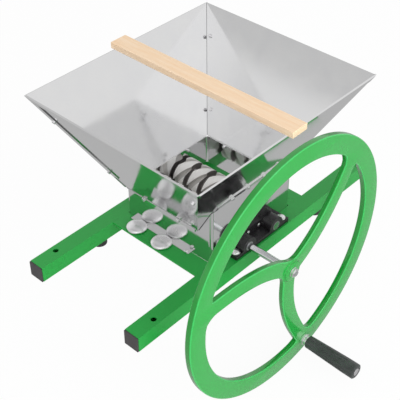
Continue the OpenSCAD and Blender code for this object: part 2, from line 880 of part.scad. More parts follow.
module flywheel() {
    color(wheel_green) difference() {
        union() {
            along_x(wheel_back, -shaft_y, shaft_z) rotate_extrude($fn = 128) rim_section();
            along_x(wheel_front - spoke_t, -shaft_y, shaft_z) for (i = [0:spokes - 1])
                rotate(i * 360 / spokes) linear_extrude(height = spoke_t) spoke_outline();
            along_x(wheel_back, -shaft_y, shaft_z) cylinder(h = hub_front - wheel_back, d = hub_d);
        }
        along_x(wheel_back - overrun, -shaft_y, shaft_z)
            cylinder(h = hub_front - wheel_back + 2 * overrun, d = end_thread_d + 2 * slip_gap);
        key(wheel_back + overrun, wheel_key_len, -shaft_y, end_thread_d, slip_gap);
        along_x(wheel_back - overrun, handle_y, handle_z)
            cylinder(h = wheel_t + 2 * overrun, d = spindle_d + 2 * slip_gap);
    }
}

module hub_washer() {
    color(steel) along_x(hub_front, -shaft_y, shaft_z) difference() {
        cylinder(h = washer_t, d = hub_washer_d);
        translate([0, 0, -overrun]) cylinder(h = washer_t + 2 * overrun, d = end_thread_d + 2 * slip_gap);
    }
}

module hub_nut() {
    color(steel) along_x(hub_front + washer_t, -shaft_y, shaft_z) difference() {
        intersection() {
            hex_prism(nut_af, nut_t);
            dome(nut_af * nut_dome_share, nut_t);
        }
        translate([0, 0, -overrun]) cylinder(h = nut_t + 2 * overrun, d = end_thread_d + 2 * slip_gap);
    }
}

// Handle
module handle_spindle() {
    color(steel) {
        along_x(wheel_back - handle_nut_t - overrun, handle_y, handle_z)
            cylinder(h = grip_end - wheel_back + handle_nut_t - spindle_head_t + overrun, d = spindle_d);
        along_x(grip_end - spindle_head_t - overrun, handle_y, handle_z)
            cylinder(h = spindle_head_t + overrun, d = spindle_head_d);
    }
}

module handle_collars() {
    color(steel) along_x(wheel_front, handle_y, handle_z) difference() {
        union() {
            cylinder(h = collar_t, d = collar_d);
            cylinder(h = 2 * collar_t, d = collar_d - collar_step);
        }
        translate([0, 0, -overrun]) cylinder(h = 2 * collar_t + 2 * overrun, d = spindle_d + 2 * slip_gap);
    }
}

module handle_nut() {
    color(steel) along_x(wheel_back - handle_nut_t, handle_y, handle_z) difference() {
        hex_prism(handle_nut_af, handle_nut_t);
        translate([0, 0, -overrun]) cylinder(h = handle_nut_t + 2 * overrun, d = spindle_d + 2 * slip_gap);
    }
}

grip_edge = 2;
flutes = 8;
flute_r = 5;
flute_depth = 1.6;
flute_start_share = 0.12;
flute_len_share = 0.7;
grip_full_share = 0.8;
head_play = 0.4;
module handle_grip() {
    color(rubber_black) along_x(grip_x0, handle_y, handle_z) difference() {
        rotate_extrude() polygon([[spindle_d / 2 + running_gap, 0], [grip_base_d / 2 - grip_edge, 0],
            [grip_base_d / 2, grip_edge], [grip_d / 2, grip_len * grip_full_share],
            [grip_d / 2, grip_len - grip_edge],
            [grip_d / 2 - grip_edge, grip_len], [spindle_d / 2 + running_gap, grip_len]]);
        translate([0, 0, grip_len - spindle_head_t - overrun - seat_gap])
            cylinder(h = spindle_head_t + 2 * overrun + seat_gap, d = spindle_head_d + head_play);
        for (i = [0:flutes - 1]) rotate(i * 360 / flutes)
            translate([(grip_base_d + grip_d) / 4 + flute_r - flute_depth, 0, grip_len * flute_start_share])
                cylinder(h = grip_len * flute_len_share, r = flute_r);
    }
}

// Wooden bar that lies across the rim, a little off its middle
bar_shift_x = 3;
bar_shift_y = -4;
bar_len = rim_w + 2 * bar_reach;
module pusher_bar() {
    color(wood) translate([hopper_cx + bar_shift_x - bar_len / 2, bar_shift_y - bar_w / 2,
        box_top + hopper_h + seat_gap]) cube([bar_len, bar_w, bar_t]);
}

rail_left();
rail_right();
crossbar_front();
crossbar_rear();
rail_plugs();
rubber_feet();
foot_screws();
crusher_box();
gear_partition();
hopper_front();
hopper_back();
hopper_left();
hopper_right();
corner_bolts();
skirt_bolts();
seam_bolts();
bracket_left();
bracket_right();
bracket_bolts();
wall_screws();
shaft_bushes();
clamp_buttons();
tab_bolts();
crank_shaft();
front_roller();
front_roller_pin();
drive_gear();
crank_keys();
flywheel();
hub_washer();
hub_nut();
handle_spindle();
handle_collars();
handle_nut();
handle_grip();
idler_shaft();
rear_roller();
rear_roller_pin();
driven_gear();
idler_key();
pusher_bar();
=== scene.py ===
"""The looks of a hand-cranked fruit crusher: sheet hopper, toothed rollers, tube frame and flywheel.

Lengths are in millimetres until they become mesh points, which are in metres. X runs along the
shafts towards the flywheel, Y along the rails, Z up.
"""

import json
import math

import bmesh
import bpy
import numpy as np
from mathutils import Matrix, Vector

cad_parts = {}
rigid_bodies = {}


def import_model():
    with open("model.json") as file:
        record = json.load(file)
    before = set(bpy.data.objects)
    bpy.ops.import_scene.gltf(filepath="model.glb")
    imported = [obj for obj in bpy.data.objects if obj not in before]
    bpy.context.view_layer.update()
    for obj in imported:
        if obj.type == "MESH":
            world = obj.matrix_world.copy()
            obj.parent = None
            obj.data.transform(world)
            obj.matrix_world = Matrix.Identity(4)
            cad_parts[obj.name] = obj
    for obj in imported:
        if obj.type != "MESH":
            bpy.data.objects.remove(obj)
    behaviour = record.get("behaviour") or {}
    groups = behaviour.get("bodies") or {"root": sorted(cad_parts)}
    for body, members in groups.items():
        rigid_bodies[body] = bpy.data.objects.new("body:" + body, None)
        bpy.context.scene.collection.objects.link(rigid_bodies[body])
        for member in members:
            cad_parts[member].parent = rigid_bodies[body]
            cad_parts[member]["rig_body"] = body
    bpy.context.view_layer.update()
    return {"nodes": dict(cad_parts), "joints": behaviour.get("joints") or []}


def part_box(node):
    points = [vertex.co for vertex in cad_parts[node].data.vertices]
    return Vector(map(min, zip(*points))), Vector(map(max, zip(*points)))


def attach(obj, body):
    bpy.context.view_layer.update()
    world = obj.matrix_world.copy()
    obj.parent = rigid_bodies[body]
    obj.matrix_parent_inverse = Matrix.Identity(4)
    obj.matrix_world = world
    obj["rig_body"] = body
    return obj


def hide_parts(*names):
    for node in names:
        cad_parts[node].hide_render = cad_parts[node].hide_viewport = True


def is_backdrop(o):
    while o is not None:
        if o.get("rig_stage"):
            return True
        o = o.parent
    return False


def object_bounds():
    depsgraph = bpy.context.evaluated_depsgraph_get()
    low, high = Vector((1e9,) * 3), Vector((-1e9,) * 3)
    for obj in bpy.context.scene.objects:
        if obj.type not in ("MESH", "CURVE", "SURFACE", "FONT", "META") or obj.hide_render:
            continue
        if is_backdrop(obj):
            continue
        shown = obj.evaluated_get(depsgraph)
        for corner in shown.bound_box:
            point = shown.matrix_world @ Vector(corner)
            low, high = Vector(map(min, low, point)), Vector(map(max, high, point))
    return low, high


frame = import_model()

MM = 0.001
NODES = frame["nodes"]
JOINTS = {joint["name"]: joint for joint in frame["joints"]}

# Camera, as found from the corners and bolt heads that the photograph shows
CAMERA_PLACE = (0.84731, -0.94462, 1.09281)
CAMERA_TURN = (50.59, 0.0, 42.61)
CAMERA_LENS = 82.54
SENSOR_WIDTH = 36.0
VIEW_LIMIT = 50

# Studio: the sky as light and as metal shows it
SKY_LIGHT = 0.72
SKY_IN_METAL = 0.9
# Soft patches of sky that only reflections see: a flag greys it, a key brightens it and a strip
# darkens it. WAY is a patch's middle, and EDGE holds the cosines at its outer and inner edge
FLAG_WAY = (-0.421, -0.52, 0.743)
FLAG_LOSS = 0.24
FLAG_EDGE = (0.855, 0.866)
KEY_WAY = (0.433, -0.25, 0.866)
KEY_GAIN = 0.32
KEY_EDGE = (0.735, 0.785)
STRIP_WAY = (0.986, -0.156, -0.052)
STRIP_LOSS = 0.75
STRIP_EDGE = (0.975, 0.99)
# How much of the floor is plain white where it is seen, and how white it is in metal
FLOOR_SHARE = 0.94
FLOOR_IN_METAL = 0.48
# The floor's side in metres, and its gap below the lowest point in millimetres
FLOOR_SIZE = 8
FLOOR_GAP = 0.5

# Lamps, which reflections don't show: size and distance in metres, azimuth and elevation in
# degrees, and radiance
LAMPS = {
    "softbox": ((4.4, 2.6), 2.6, (-20, 26), 1.2),
    "side_lamp": ((2.4, 0.9), 2.8, (-16, 17), 3.0),
    "left_lamp": ((0.7, 0.5), 2.8, (-135, 56), 2.5),
}
# The height that the lamps aim at, in metres
LAMP_AIM = 0.1

# Pieces that keep a CAD node's shape: corners this close and faces this flat are one, edges
# sharper than the last angle are rounded, and flat faces count this much in the shading
MERGE_GAP = 0.002
FLAT_ANGLE = 0.5
ROUNDED_ANGLE = 28
FLAT_WEIGHT = 80
# The radius of their rounded edges
RAIL_EDGE = 2.0
BAR_EDGE = 0.8
PLUG_EDGE = 1.2
FOOT_EDGE = 1.5
FOOT_SCREW_EDGE = 0.4
SHEET_EDGE = 0.45
CASTING_EDGE = 1.3
WALL_SCREW_EDGE = 0.3
BUSH_EDGE = 0.4
SHAFT_EDGE = 0.5
GEAR_EDGE = 0.25
PIN_EDGE = 0.3
HANDLE_EDGE = 0.5
WOOD_EDGE = 0.9

# Flywheel casting
SPOKES = 3
SPOKE_WIDTH = 31.0
SPOKE_THICKNESS = 10.0
# How many degrees a spoke lags at the hub, and the power by which that fades outwards
SPOKE_SWEEP = 24.8
SPOKE_BEND = 1.3
RIM_WIDTH = 36.0
WHEEL_THICKNESS = 12.0
WHEEL_EDGE = 2.5
WHEEL_STEPS = 180
WELD_GAP = 0.01
HUB_PROUD = 3.4
HUB_DIAMETER = 38.0
HUB_EDGE = 1.4
HUB_FILLET = 3.0
HUB_SUNK = 0.2
# How far in the middle of a rounded corner lies, as a share of its radius
ROUND_SHARE = 0.3
# The fillets on a spoke's two sides, where it runs into the rim
FILLET_NEAR = 6.0
FILLET_FAR = 22.0
# The radius at which a window between two spokes starts, and the steps round that corner
CROTCH_START = 27.0
CROTCH_STEPS = 8
# The length over which a spoke's back steps down from the rim's
SPOKE_RAMP = 8.0
SPOKE_STEPS = 60
RIM_GAP = 0.05
ARC_STEP = 2.5
# The finishes of its face, front edges and sides: the edges' paler tint paints their highlight and the
# sides' deeper tint paints their shade. A face whose normal's share across the wheel is under SIDE_TILT is a
# side, and one in front that is also under FLAT_TILT is an edge
WHEEL_FINISHES = ("wheel_paint", "wheel_painted_highlight", "wheel_painted_shade")
SIDE_TILT = 0.25
FLAT_TILT = 0.9

# Nut and washer on the crank shaft's end
NUT_EDGE = 1.0
WASHER_BORE_RADIUS = 5.0
WASHER_EDGE = (0.4, 0.3)

# Rollers
# The crests' finish, then darker greys that paint the shade in the cores between bands and in the notches
ROLLER_FINISHES = ("roller_casting", "roller_shaded_core", "roller_shaded_valley")
BANDS = 5
BLADES = 4
BAND_WIDTH = 24.4
BAND_STEPS = 12
END_BOSS = 3.2
NOTCH_SHARE = 0.4
NOTCH_DEPTH = 6.0
RIB_HEIGHT = 0.7
RIBS_PER_BLADE = 8
# Where a rib's rise ends and its fall starts and ends, as shares of its turn
RIB_SHARES = (0.1, 0.82, 0.9)
# Where a notch's floor starts and ends, as shares of a blade's turn
NOTCH_FLOOR_SHARES = (0.95, 0.985)
CORE_RADIUS = 23.0
AXLE_RADIUS = 7.2
# The blades' turn in degrees for each millimetre along the roller
HELIX = 2.8

# Skirts, and the folded edges that close them
SKIRT_HEIGHT = 8.0
SKIRT_THICKNESS = 1.5
EDGE_RADIUS = 0.9
EDGE_INSET = 2.0

# Sheet bolts
BOLT_THREAD = 4.0
BOLT_HEAD = 6.4
BOLT_HEIGHT = 2.8
HEAD_CHAMFER = 0.6
NUT_CHAMFER = 0.4
# How far in a head's chamfer goes for each millimetre of its height
CHAMFER_SLOPE = 1.6
# How far the thread stands out of its nut
THREAD_PROUD = 1.2
THREAD_CHAMFER = 0.4
# What a bolt clamps: two sheets, or the box's tab on a crossbar
SHEETS = 3.3
TAB_AND_BAR = 4.7
# A skirt bolt this far inside the box's end walls goes through its side
WALL_MARGIN = 10.0

# Bolt heads, turned from radius and height: domes on the brackets, discs on the crossbars
DOME = [(0, 4.4), (2.5, 4.25), (4.8, 3.7), (6.7, 2.7), (8.0, 1.4), (8.4, 0.5), (8.4, 0.0)]
DISC = [(0, 5.7), (0.9, 5.8), (1.3, 6.5), (7, 6.1), (12, 5.2), (16, 3.9), (18.3, 2.6), (19, 1.4), (19, 0)]
HEAD_SHANK_RADIUS = 4.0
DOME_SHANK = 44
DISC_SHANK = 11

# Grip
GRIP_BASE = 24.0
GRIP_EDGE = 2.2
FLUTES = 8
FLUTE_DEPTH = 1.6
# The power that narrows a flute
FLUTE_SOFTNESS = 1.2
# The flutes' start and length and the widening's, as shares of the grip's length
FLUTE_SHARES = (0.1, 0.74)
WIDENING_SHARE = 0.8
GRIP_ROWS = 70
GRIP_STEPS = 96
GRIP_BORE_RADIUS = 7.0
# The grip's outer end: a flat ring round a sunk face, and a pocket for the nut
END_RING = 3.4
END_SUNK = 0.6
POCKET_RADIUS = 7.8
POCKET_EDGE = 0.2
POCKET_DEPTH = 3.6
POCKET_HOLE_RADIUS = 5.2


def linear(hex_colour):
    """An sRGB hex colour as the linear colour that Blender's sockets take."""
    channels = [int(hex_colour[i : i + 2], 16) / 255 for i in (1, 3, 5)]
    return [c / 12.92 if c <= 0.04045 else ((c + 0.055) / 1.055) ** 2.4 for c in channels] + [1.0]


def add_node(tree, kind, settings=None, inputs=None):
    """Adds a node: settings are its properties, inputs its sockets' values or what feeds them."""
    node = tree.nodes.new(kind)
    for name, value in (settings or {}).items():
        setattr(node, name, value)
    for name, value in (inputs or {}).items():
        if isinstance(value, bpy.types.NodeSocket):
            tree.links.new(value, node.inputs[name])
        else:
            node.inputs[name].default_value = value
    return node


def finish_of(name, sockets):
    """A material with one Principled surface. Returns it, its tree and its surface node."""
    material = bpy.data.materials.new(name)
    material.use_nodes = True
    surface = material.node_tree.nodes["Principled BSDF"]
    for socket, value in sockets.items():
        surface.inputs[socket].default_value = value
    return material, material.node_tree, surface


def spread(tree, size, stretch=(1, 1, 1)):
    """Place on the piece, counted in features of that many millimetres, drawn out along each axis."""
    place = add_node(tree, "ShaderNodeTexCoord").outputs["Object"]
    scale = [1 / (size * MM * s) for s in stretch]
    return add_node(tree, "ShaderNodeMapping", inputs={"Vector": place, "Scale": scale}).outputs["Vector"]


def between(tree, value, low, high, start=0.3, end=0.7):
    """A pattern's value moved to the range low to high."""
    inputs = {"Value": value, "From Min": start, "From Max": end, "To Min": low, "To Max": high}
    return add_node(tree, "ShaderNodeMapRange", inputs=inputs).outputs["Result"]


def blend_colours(tree, amount, first, second):
    """The first colour where amount is 0 and the second where it is 1."""
    inputs = {"Factor": amount, 6: linear(first), 7: linear(second)}
    return add_node(tree, "ShaderNodeMix", {"data_type": "RGBA"}, inputs).outputs[2]


def raise_skin(tree, surface, height, depth):
    """Gives a surface relief: depth is in millimetres from the pattern's lowest to its highest point."""
    bump = add_node(tree, "ShaderNodeBump", inputs={"Height": height, "Distance": depth * MM})
    tree.links.new(bump.outputs["Normal"], surface.inputs["Normal"])


def enamel(name, colour, thin_colour, roughness, coat):
    """Stoved enamel on steel: a smooth gloss skin, with the faint orange peel that spraying leaves."""
    cloud_size, duller = 55, 0.08
    peel_size, peel_depth = 2.5, 0.005
    sockets = {"IOR": 1.5, "Specular IOR Level": 0.4, "Coat Weight": coat, "Coat Roughness": 0.08}
    material, tree, surface = finish_of(name, sockets)
    inputs = {"Vector": spread(tree, cloud_size), "Scale": 1, "Detail": 2}
    cloud = add_node(tree, "ShaderNodeTexNoise", inputs=inputs)
    tint = blend_colours(tree, between(tree, cloud.outputs["Fac"], 0, 1), colour, thin_colour)
    tree.links.new(tint, surface.inputs["Base Color"])
    dull = between(tree, cloud.outputs["Fac"], roughness, roughness + duller)
    tree.links.new(dull, surface.inputs["Roughness"])
    inputs = {"Vector": spread(tree, peel_size), "Scale": 1, "Detail": 1}
    peel = add_node(tree, "ShaderNodeTexNoise", inputs=inputs)
    raise_skin(tree, surface, peel.outputs["Fac"], peel_depth)
    return material


def polished_sheet():
    """Mirror-polished stainless sheet: clear reflections, softened by faint polishing haze."""
    haze_size, roughness = 40, (0.07, 0.11)
    sag_size, sag_depth = 140, 0.25
    material, tree, surface = finish_of("polished_sheet", {"Metallic": 1.0})
    inputs = {"Vector": spread(tree, haze_size), "Scale": 1, "Detail": 3}
    haze = add_node(tree, "ShaderNodeTexNoise", inputs=inputs)
    tint = blend_colours(tree, between(tree, haze.outputs["Fac"], 0, 1), "#E1E1E2", "#E4E4E4")
    tree.links.new(tint, surface.inputs["Base Color"])
    tree.links.new(between(tree, haze.outputs["Fac"], *roughness), surface.inputs["Roughness"])
    inputs = {"Vector": spread(tree, sag_size), "Scale": 1, "Detail": 0}
    sag = add_node(tree, "ShaderNodeTexNoise", inputs=inputs)
    raise_skin(tree, surface, sag.outputs["Fac"], sag_depth)
    return material


def plated_steel():
    """Bright zinc on steel: clean fasteners with a slight milky bloom."""
    bloom_size, roughness = 14, (0.27, 0.3)
    material, tree, surface = finish_of("zinc_fastener", {"Metallic": 1.0})
    inputs = {"Vector": spread(tree, bloom_size), "Scale": 1, "Detail": 1}
    bloom = add_node(tree, "ShaderNodeTexNoise", inputs=inputs)
    tint = blend_colours(tree, between(tree, bloom.outputs["Fac"], 0, 1), "#ECEBEC", "#E7E6E8")
    tree.links.new(tint, surface.inputs["Base Color"])
    tree.links.new(between(tree, bloom.outputs["Fac"], *roughness), surface.inputs["Roughness"])
    return material


def roller_crest():
    """Machined cast aluminium: the pale crests of the rollers, with fine tool marks round them."""
    mark_width, mark_stretch, mark_depth = 0.6, 40, 0.03
    roughness = (0.3, 0.45)
    material, tree, surface = finish_of("roller_casting", {"Metallic": 0.1})
    marks = spread(tree, mark_width, (1, mark_stretch, mark_stretch))
    lines = add_node(tree, "ShaderNodeTexNoise", inputs={"Vector": marks, "Scale": 1, "Detail": 2})
    tint = blend_colours(tree, between(tree, lines.outputs["Fac"], 0, 1), "#FFFFFD", "#F4F3F1")
    tree.links.new(tint, surface.inputs["Base Color"])
    tree.links.new(between(tree, lines.outputs["Fac"], *roughness), surface.inputs["Roughness"])
    raise_skin(tree, surface, lines.outputs["Fac"], mark_depth)
    return material


def shaded_rough_casting(name, colour, dark_colour):
    """The same casting where the tool didn't reach, with a sandy skin; its grey is darker than the crests'
    to paint the shade in the rollers' grooves and notches.
    """
    # The grains are drawn coarser than real ones, so that they show
    sand_size, sand_depth = 1.2, 0.12
    material, tree, surface = finish_of(name, {"Metallic": 0.3, "Roughness": 0.55})
    inputs = {"Vector": spread(tree, sand_size), "Scale": 1, "Detail": 4}
    sand = add_node(tree, "ShaderNodeTexNoise", inputs=inputs)
    tint = blend_colours(tree, between(tree, sand.outputs["Fac"], 0, 1), colour, dark_colour)
    tree.links.new(tint, surface.inputs["Base Color"])
    raise_skin(tree, surface, sand.outputs["Fac"], sand_depth)
    return material


def ground_steel():
    """Ground shaft steel: bright, with hair-fine rings from the grinding wheel."""
    # The rings are drawn coarser than real ones, so that they show
    ring_width, ring_stretch, roughness = 0.5, 60, (0.1, 0.2)
    material, tree, surface = finish_of("shaft_steel", {"Metallic": 1.0})
    rings = spread(tree, ring_width, (1, ring_stretch, ring_stretch))
    lines = add_node(tree, "ShaderNodeTexNoise", inputs={"Vector": rings, "Scale": 1, "Detail": 2})
    tint = blend_colours(tree, between(tree, lines.outputs["Fac"], 0, 1), "#DCDCDE", "#CDCED1")
    tree.links.new(tint, surface.inputs["Base Color"])
    tree.links.new(between(tree, lines.outputs["Fac"], *roughness), surface.inputs["Roughness"])
    return material


def greased_steel():
    """Machined gear steel under a film of grease: darker, with smeared gloss."""
    smear_size, roughness = 9, (0.2, 0.42)
    material, tree, surface = finish_of("gear_steel", {"Metallic": 1.0})
    inputs = {"Vector": spread(tree, smear_size), "Scale": 1, "Detail": 3}
    smear = add_node(tree, "ShaderNodeTexNoise", inputs=inputs)
    tint = blend_colours(tree, between(tree, smear.outputs["Fac"], 0, 1), "#8C8C8E", "#6B6764")
    tree.links.new(tint, surface.inputs["Base Color"])
    tree.links.new(between(tree, smear.outputs["Fac"], *roughness), surface.inputs["Roughness"])
    return material


def black_casting():
    """Painted grey iron: a gloss black coat over the pebbled skin that the sand mould leaves."""
    pebble_size, pebble_depth, roughness = 2.2, 0.12, (0.24, 0.4)
    material, tree, surface = finish_of("black_casting", {"IOR": 1.5, "Specular IOR Level": 0.45})
    inputs = {"Vector": spread(tree, pebble_size), "Scale": 1, "Detail": 3}
    pebbles = add_node(tree, "ShaderNodeTexNoise", inputs=inputs)
    tint = blend_colours(tree, between(tree, pebbles.outputs["Fac"], 0, 1), "#1B1A1C", "#262427")
    tree.links.new(tint, surface.inputs["Base Color"])
    tree.links.new(between(tree, pebbles.outputs["Fac"], *roughness), surface.inputs["Roughness"])
    raise_skin(tree, surface, pebbles.outputs["Fac"], pebble_depth)
    return material


def moulded(name, colour, worn_colour, roughness, relief):
    """Moulded rubber or plastic: a dull skin whose fine relief comes from the spark-eroded mould."""
    # The relief is drawn coarser than a real mould leaves it, so that it shows
    skin_size, cloud_size, duller = 0.8, 14, 0.1
    material, tree, surface = finish_of(name, {"IOR": 1.5, "Specular IOR Level": 0.4})
    inputs = {"Vector": spread(tree, skin_size), "Scale": 1, "Detail": 2}
    skin = add_node(tree, "ShaderNodeTexNoise", inputs=inputs)
    inputs = {"Vector": spread(tree, cloud_size), "Scale": 1, "Detail": 2}
    cloud = add_node(tree, "ShaderNodeTexNoise", inputs=inputs)
    tint = blend_colours(tree, between(tree, cloud.outputs["Fac"], 0, 1), colour, worn_colour)
    tree.links.new(tint, surface.inputs["Base Color"])
    dull = between(tree, cloud.outputs["Fac"], roughness, roughness + duller)
    tree.links.new(dull, surface.inputs["Roughness"])
    raise_skin(tree, surface, skin.outputs["Fac"], relief)
    return material


def turned_steel():
    """Turned steel bush: plain grey, with the fine rings that the lathe leaves."""
    # The rings are drawn coarser than real ones, so that they show
    ring_width, ring_stretch, roughness = 0.5, 30, (0.25, 0.4)
    material, tree, surface = finish_of("bush_steel", {"Metallic": 1.0})
    rings = spread(tree, ring_width, (ring_stretch, 1, 1))
    lines = add_node(tree, "ShaderNodeTexNoise", inputs={"Vector": rings, "Scale": 1, "Detail": 2})
    tint = blend_colours(tree, between(tree, lines.outputs["Fac"], 0, 1), "#B4B4B5", "#9A9A9C")
    tree.links.new(tint, surface.inputs["Base Color"])
    tree.links.new(between(tree, lines.outputs["Fac"], *roughness), surface.inputs["Roughness"])
    return material


def beech():
    """Planed beech: pale pink-tan with soft growth bands along the bar and short dark flecks."""
    # The fibres are drawn coarser than real ones, so that they show
    growth_width, growth_stretch, roughness = 5.5, 16, (0.45, 0.6)
    fibre_width, fibre_stretch, fibre_depth, fibre_share = 0.9, 30, 0.05, 0.5
    fleck_width, fleck_stretch, fleck_share = 0.75, 5, 0.45
    fleck_middle, fleck_edge = 0.1, 0.22
    material, tree, surface = finish_of("beech", {"IOR": 1.5, "Specular IOR Level": 0.3})
    growth = spread(tree, growth_width, (growth_stretch, 1, 1))
    bands = add_node(tree, "ShaderNodeTexNoise", inputs={"Vector": growth, "Scale": 1, "Detail": 3})
    warm = blend_colours(tree, between(tree, bands.outputs["Fac"], 0, 1), "#FAE3C8", "#F6D9B8")
    fibre = spread(tree, fibre_width, (fibre_stretch, 1, 1))
    lines = add_node(tree, "ShaderNodeTexNoise", inputs={"Vector": fibre, "Scale": 1, "Detail": 2})
    cells = spread(tree, fleck_width, (fleck_stretch, 1, 1))
    flecks = add_node(tree, "ShaderNodeTexVoronoi", inputs={"Vector": cells, "Scale": 1})
    fleck = between(tree, flecks.outputs["Distance"], fleck_share, 0, fleck_middle, fleck_edge)
    shade = add_node(tree, "ShaderNodeMix", {"data_type": "RGBA", "blend_type": "MULTIPLY"})
    tree.links.new(between(tree, lines.outputs["Fac"], 0, fibre_share), shade.inputs["Factor"])
    tree.links.new(warm, shade.inputs[6])
    shade.inputs[7].default_value = linear("#F6E6D0")
    inputs = {"Factor": fleck, 6: shade.outputs[2], 7: linear("#D9AC80")}
    speckled = add_node(tree, "ShaderNodeMix", {"data_type": "RGBA"}, inputs)
    tree.links.new(speckled.outputs[2], surface.inputs["Base Color"])
    tree.links.new(between(tree, bands.outputs["Fac"], *roughness), surface.inputs["Roughness"])
    raise_skin(tree, surface, lines.outputs["Fac"], fibre_depth)
    return material


def make_finishes():
    """Every finish: one for each of the record's material slots, and more tints of two of them.

    The wheel's front edges have a paler tint of its enamel, which paints their highlight, and its sides a
    deeper tint, which paints their shade. The rollers' cores and valleys are the same casting as the crests,
    left rough, in darker greys that paint the shade in their grooves and notches.
    """
    return {
        "frame_paint": enamel("frame_paint", "#1E9E3E", "#239F42", 0.26, 0.0),
        "wheel_paint": enamel("wheel_paint", "#149F38", "#1AA13D", 0.2, 0.8),
        # A paler tint that paints the highlight on the wheel's front edges, and a deeper one that paints the
        # shade on its sides
        "wheel_painted_highlight": enamel("wheel_painted_highlight_enamel", "#2DB653", "#35B85A", 0.2, 0.8),
        "wheel_painted_shade": enamel("wheel_painted_shade_enamel", "#068A27", "#0A8E2B", 0.2, 0.8),
        "polished_sheet": polished_sheet(),
        "zinc_fastener": plated_steel(),
        "roller_casting": roller_crest(),
        # Darker greys that paint the shade in the rollers' grooves and notches
        "roller_shaded_core": shaded_rough_casting("roller_core_painted_shade", "#8A8684", "#6C6866"),
        "roller_shaded_valley": shaded_rough_casting("roller_valley_painted_shade", "#DAD8D5", "#BDBBB8"),
        "shaft_steel": ground_steel(),
        "gear_steel": greased_steel(),
        "black_casting": black_casting(),
        "black_rubber": moulded("black_rubber", "#2C2B2C", "#383637", 0.6, 0.08),
        "plug_plastic": moulded("plug_plastic", "#3D3A3C", "#474446", 0.45, 0.04),
        "grip_plastic": moulded("grip_plastic", "#383B3A", "#424645", 0.2, 0.01),
        "bush_steel": turned_steel(),
        "beech": beech(),
    }


FINISH = make_finishes()


def new_piece(name, mesh, slot, body, *stands_for):
    """Puts a finished mesh in the scene: its finish, its body and the CAD nodes that it stands for."""
    if not mesh.materials:
        mesh.materials.append(FINISH[slot])
    piece = bpy.data.objects.new(name, mesh)
    bpy.context.scene.collection.objects.link(piece)
    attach(piece, body)
    if stands_for:
        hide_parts(*stands_for)
    return piece


def smooth(mesh, angle=35):
    """Shades a mesh smooth, but for its edges that are sharper than the angle."""
    mesh.shade_smooth()
    mesh.set_sharp_from_angle(angle=math.radians(angle))


def plain_mesh(piece):
    """The piece's mesh with its modifiers worked in."""
    bpy.context.view_layer.update()
    depsgraph = bpy.context.evaluated_depsgraph_get()
    return bpy.data.meshes.new_from_object(
        piece.evaluated_get(depsgraph), preserve_all_data_layers=True, depsgraph=depsgraph
    )


def merged_copy(node):
    """A CAD node's shape as one closed mesh with its flat faces whole."""
    shape = bmesh.new()
    shape.from_mesh(NODES[node].data)
    bmesh.ops.remove_doubles(shape, verts=shape.verts, dist=MERGE_GAP * MM)
    bmesh.ops.dissolve_limit(
        shape, angle_limit=math.radians(FLAT_ANGLE), verts=shape.verts, edges=shape.edges
    )
    points = [v.co.copy() for v in shape.verts]
    faces = [[v.index for v in f.verts] for f in shape.faces]
    shape.free()
    mesh = bpy.data.meshes.new(node)
    mesh.from_pydata(points, [], faces)
    return mesh


def softened(node, slot, radius, segments=2):
    """A CAD node with its edges rounded as far as the real piece's are."""
    mesh = merged_copy(node)
    mesh.materials.append(FINISH[slot])
    smooth(mesh, ROUNDED_ANGLE)
    rough = bpy.data.objects.new(node + "_rough", mesh)
    bpy.context.scene.collection.objects.link(rough)
    edge = rough.modifiers.new("edge", "BEVEL")
    edge.width = radius * MM
    edge.segments = segments
    edge.angle_limit = math.radians(ROUNDED_ANGLE)
    edge.use_clamp_overlap = True
    edge.miter_outer = "MITER_ARC"
    even = rough.modifiers.new("even", "WEIGHTED_NORMAL")
    even.keep_sharp = False
    even.weight = FLAT_WEIGHT
    finished = plain_mesh(rough)
    bpy.data.objects.remove(rough)
    return new_piece(node + "_piece", finished, slot, NODES[node]["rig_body"], node)


def solids_of(node):
    """The lowest and highest corner of each separate solid in a CAD node, in metres."""
    shape = bmesh.new()
    shape.from_mesh(NODES[node].data)
    bmesh.ops.remove_doubles(shape, verts=shape.verts, dist=MERGE_GAP * MM)
    left, found = set(shape.verts), []
    while left:
        group, still_open = set(), [left.pop()]
        while still_open:
            vertex = still_open.pop()
            group.add(vertex)
            for edge in vertex.link_edges:
                other = edge.other_vert(vertex)
                if other in left:
                    left.remove(other)
                    still_open.append(other)
        points = np.array([v.co for v in group])
        found.append((points.min(0), points.max(0)))
    shape.free()
    return sorted(found, key=lambda box: tuple(np.round(box[0], 5)))


def main_normal(node):
    """The direction that most of a CAD node's surface faces, up to its sign."""
    mesh = NODES[node].data
    areas = {}
    for face in mesh.polygons:
        n = face.normal if face.normal.z >= 0 else -face.normal
        key = tuple(round(c, 2) for c in n)
        areas[key] = areas.get(key, 0) + face.area
    return Vector(max(areas, key=areas.get)).normalized()


def turned(name, profile, segments=48):
    """A mesh turned about Z from a profile of (radius, height) points in millimetres."""
    shape = bmesh.new()
    rings = []
    for radius, height in profile:
        if radius == 0:
            rings.append([shape.verts.new((0, 0, height * MM))])
            continue
        ring = []
        for i in range(segments):
            t = 2 * math.pi * i / segments
            place = Vector((radius * math.cos(t), radius * math.sin(t), height))
            ring.append(shape.verts.new(place * MM))
        rings.append(ring)
    for low, high in zip(rings, rings[1:]):
        for i in range(segments):
            j = (i + 1) % segments
            corners = [low[i % len(low)], low[j % len(low)], high[j % len(high)], high[i % len(high)]]
            unique = list(dict.fromkeys(corners))
            if len(unique) > 2:
                shape.faces.new(unique)
    bmesh.ops.recalc_face_normals(shape, faces=shape.faces)
    mesh = bpy.data.meshes.new(name)
    shape.to_mesh(mesh)
    shape.free()
    smooth(mesh)
    return mesh


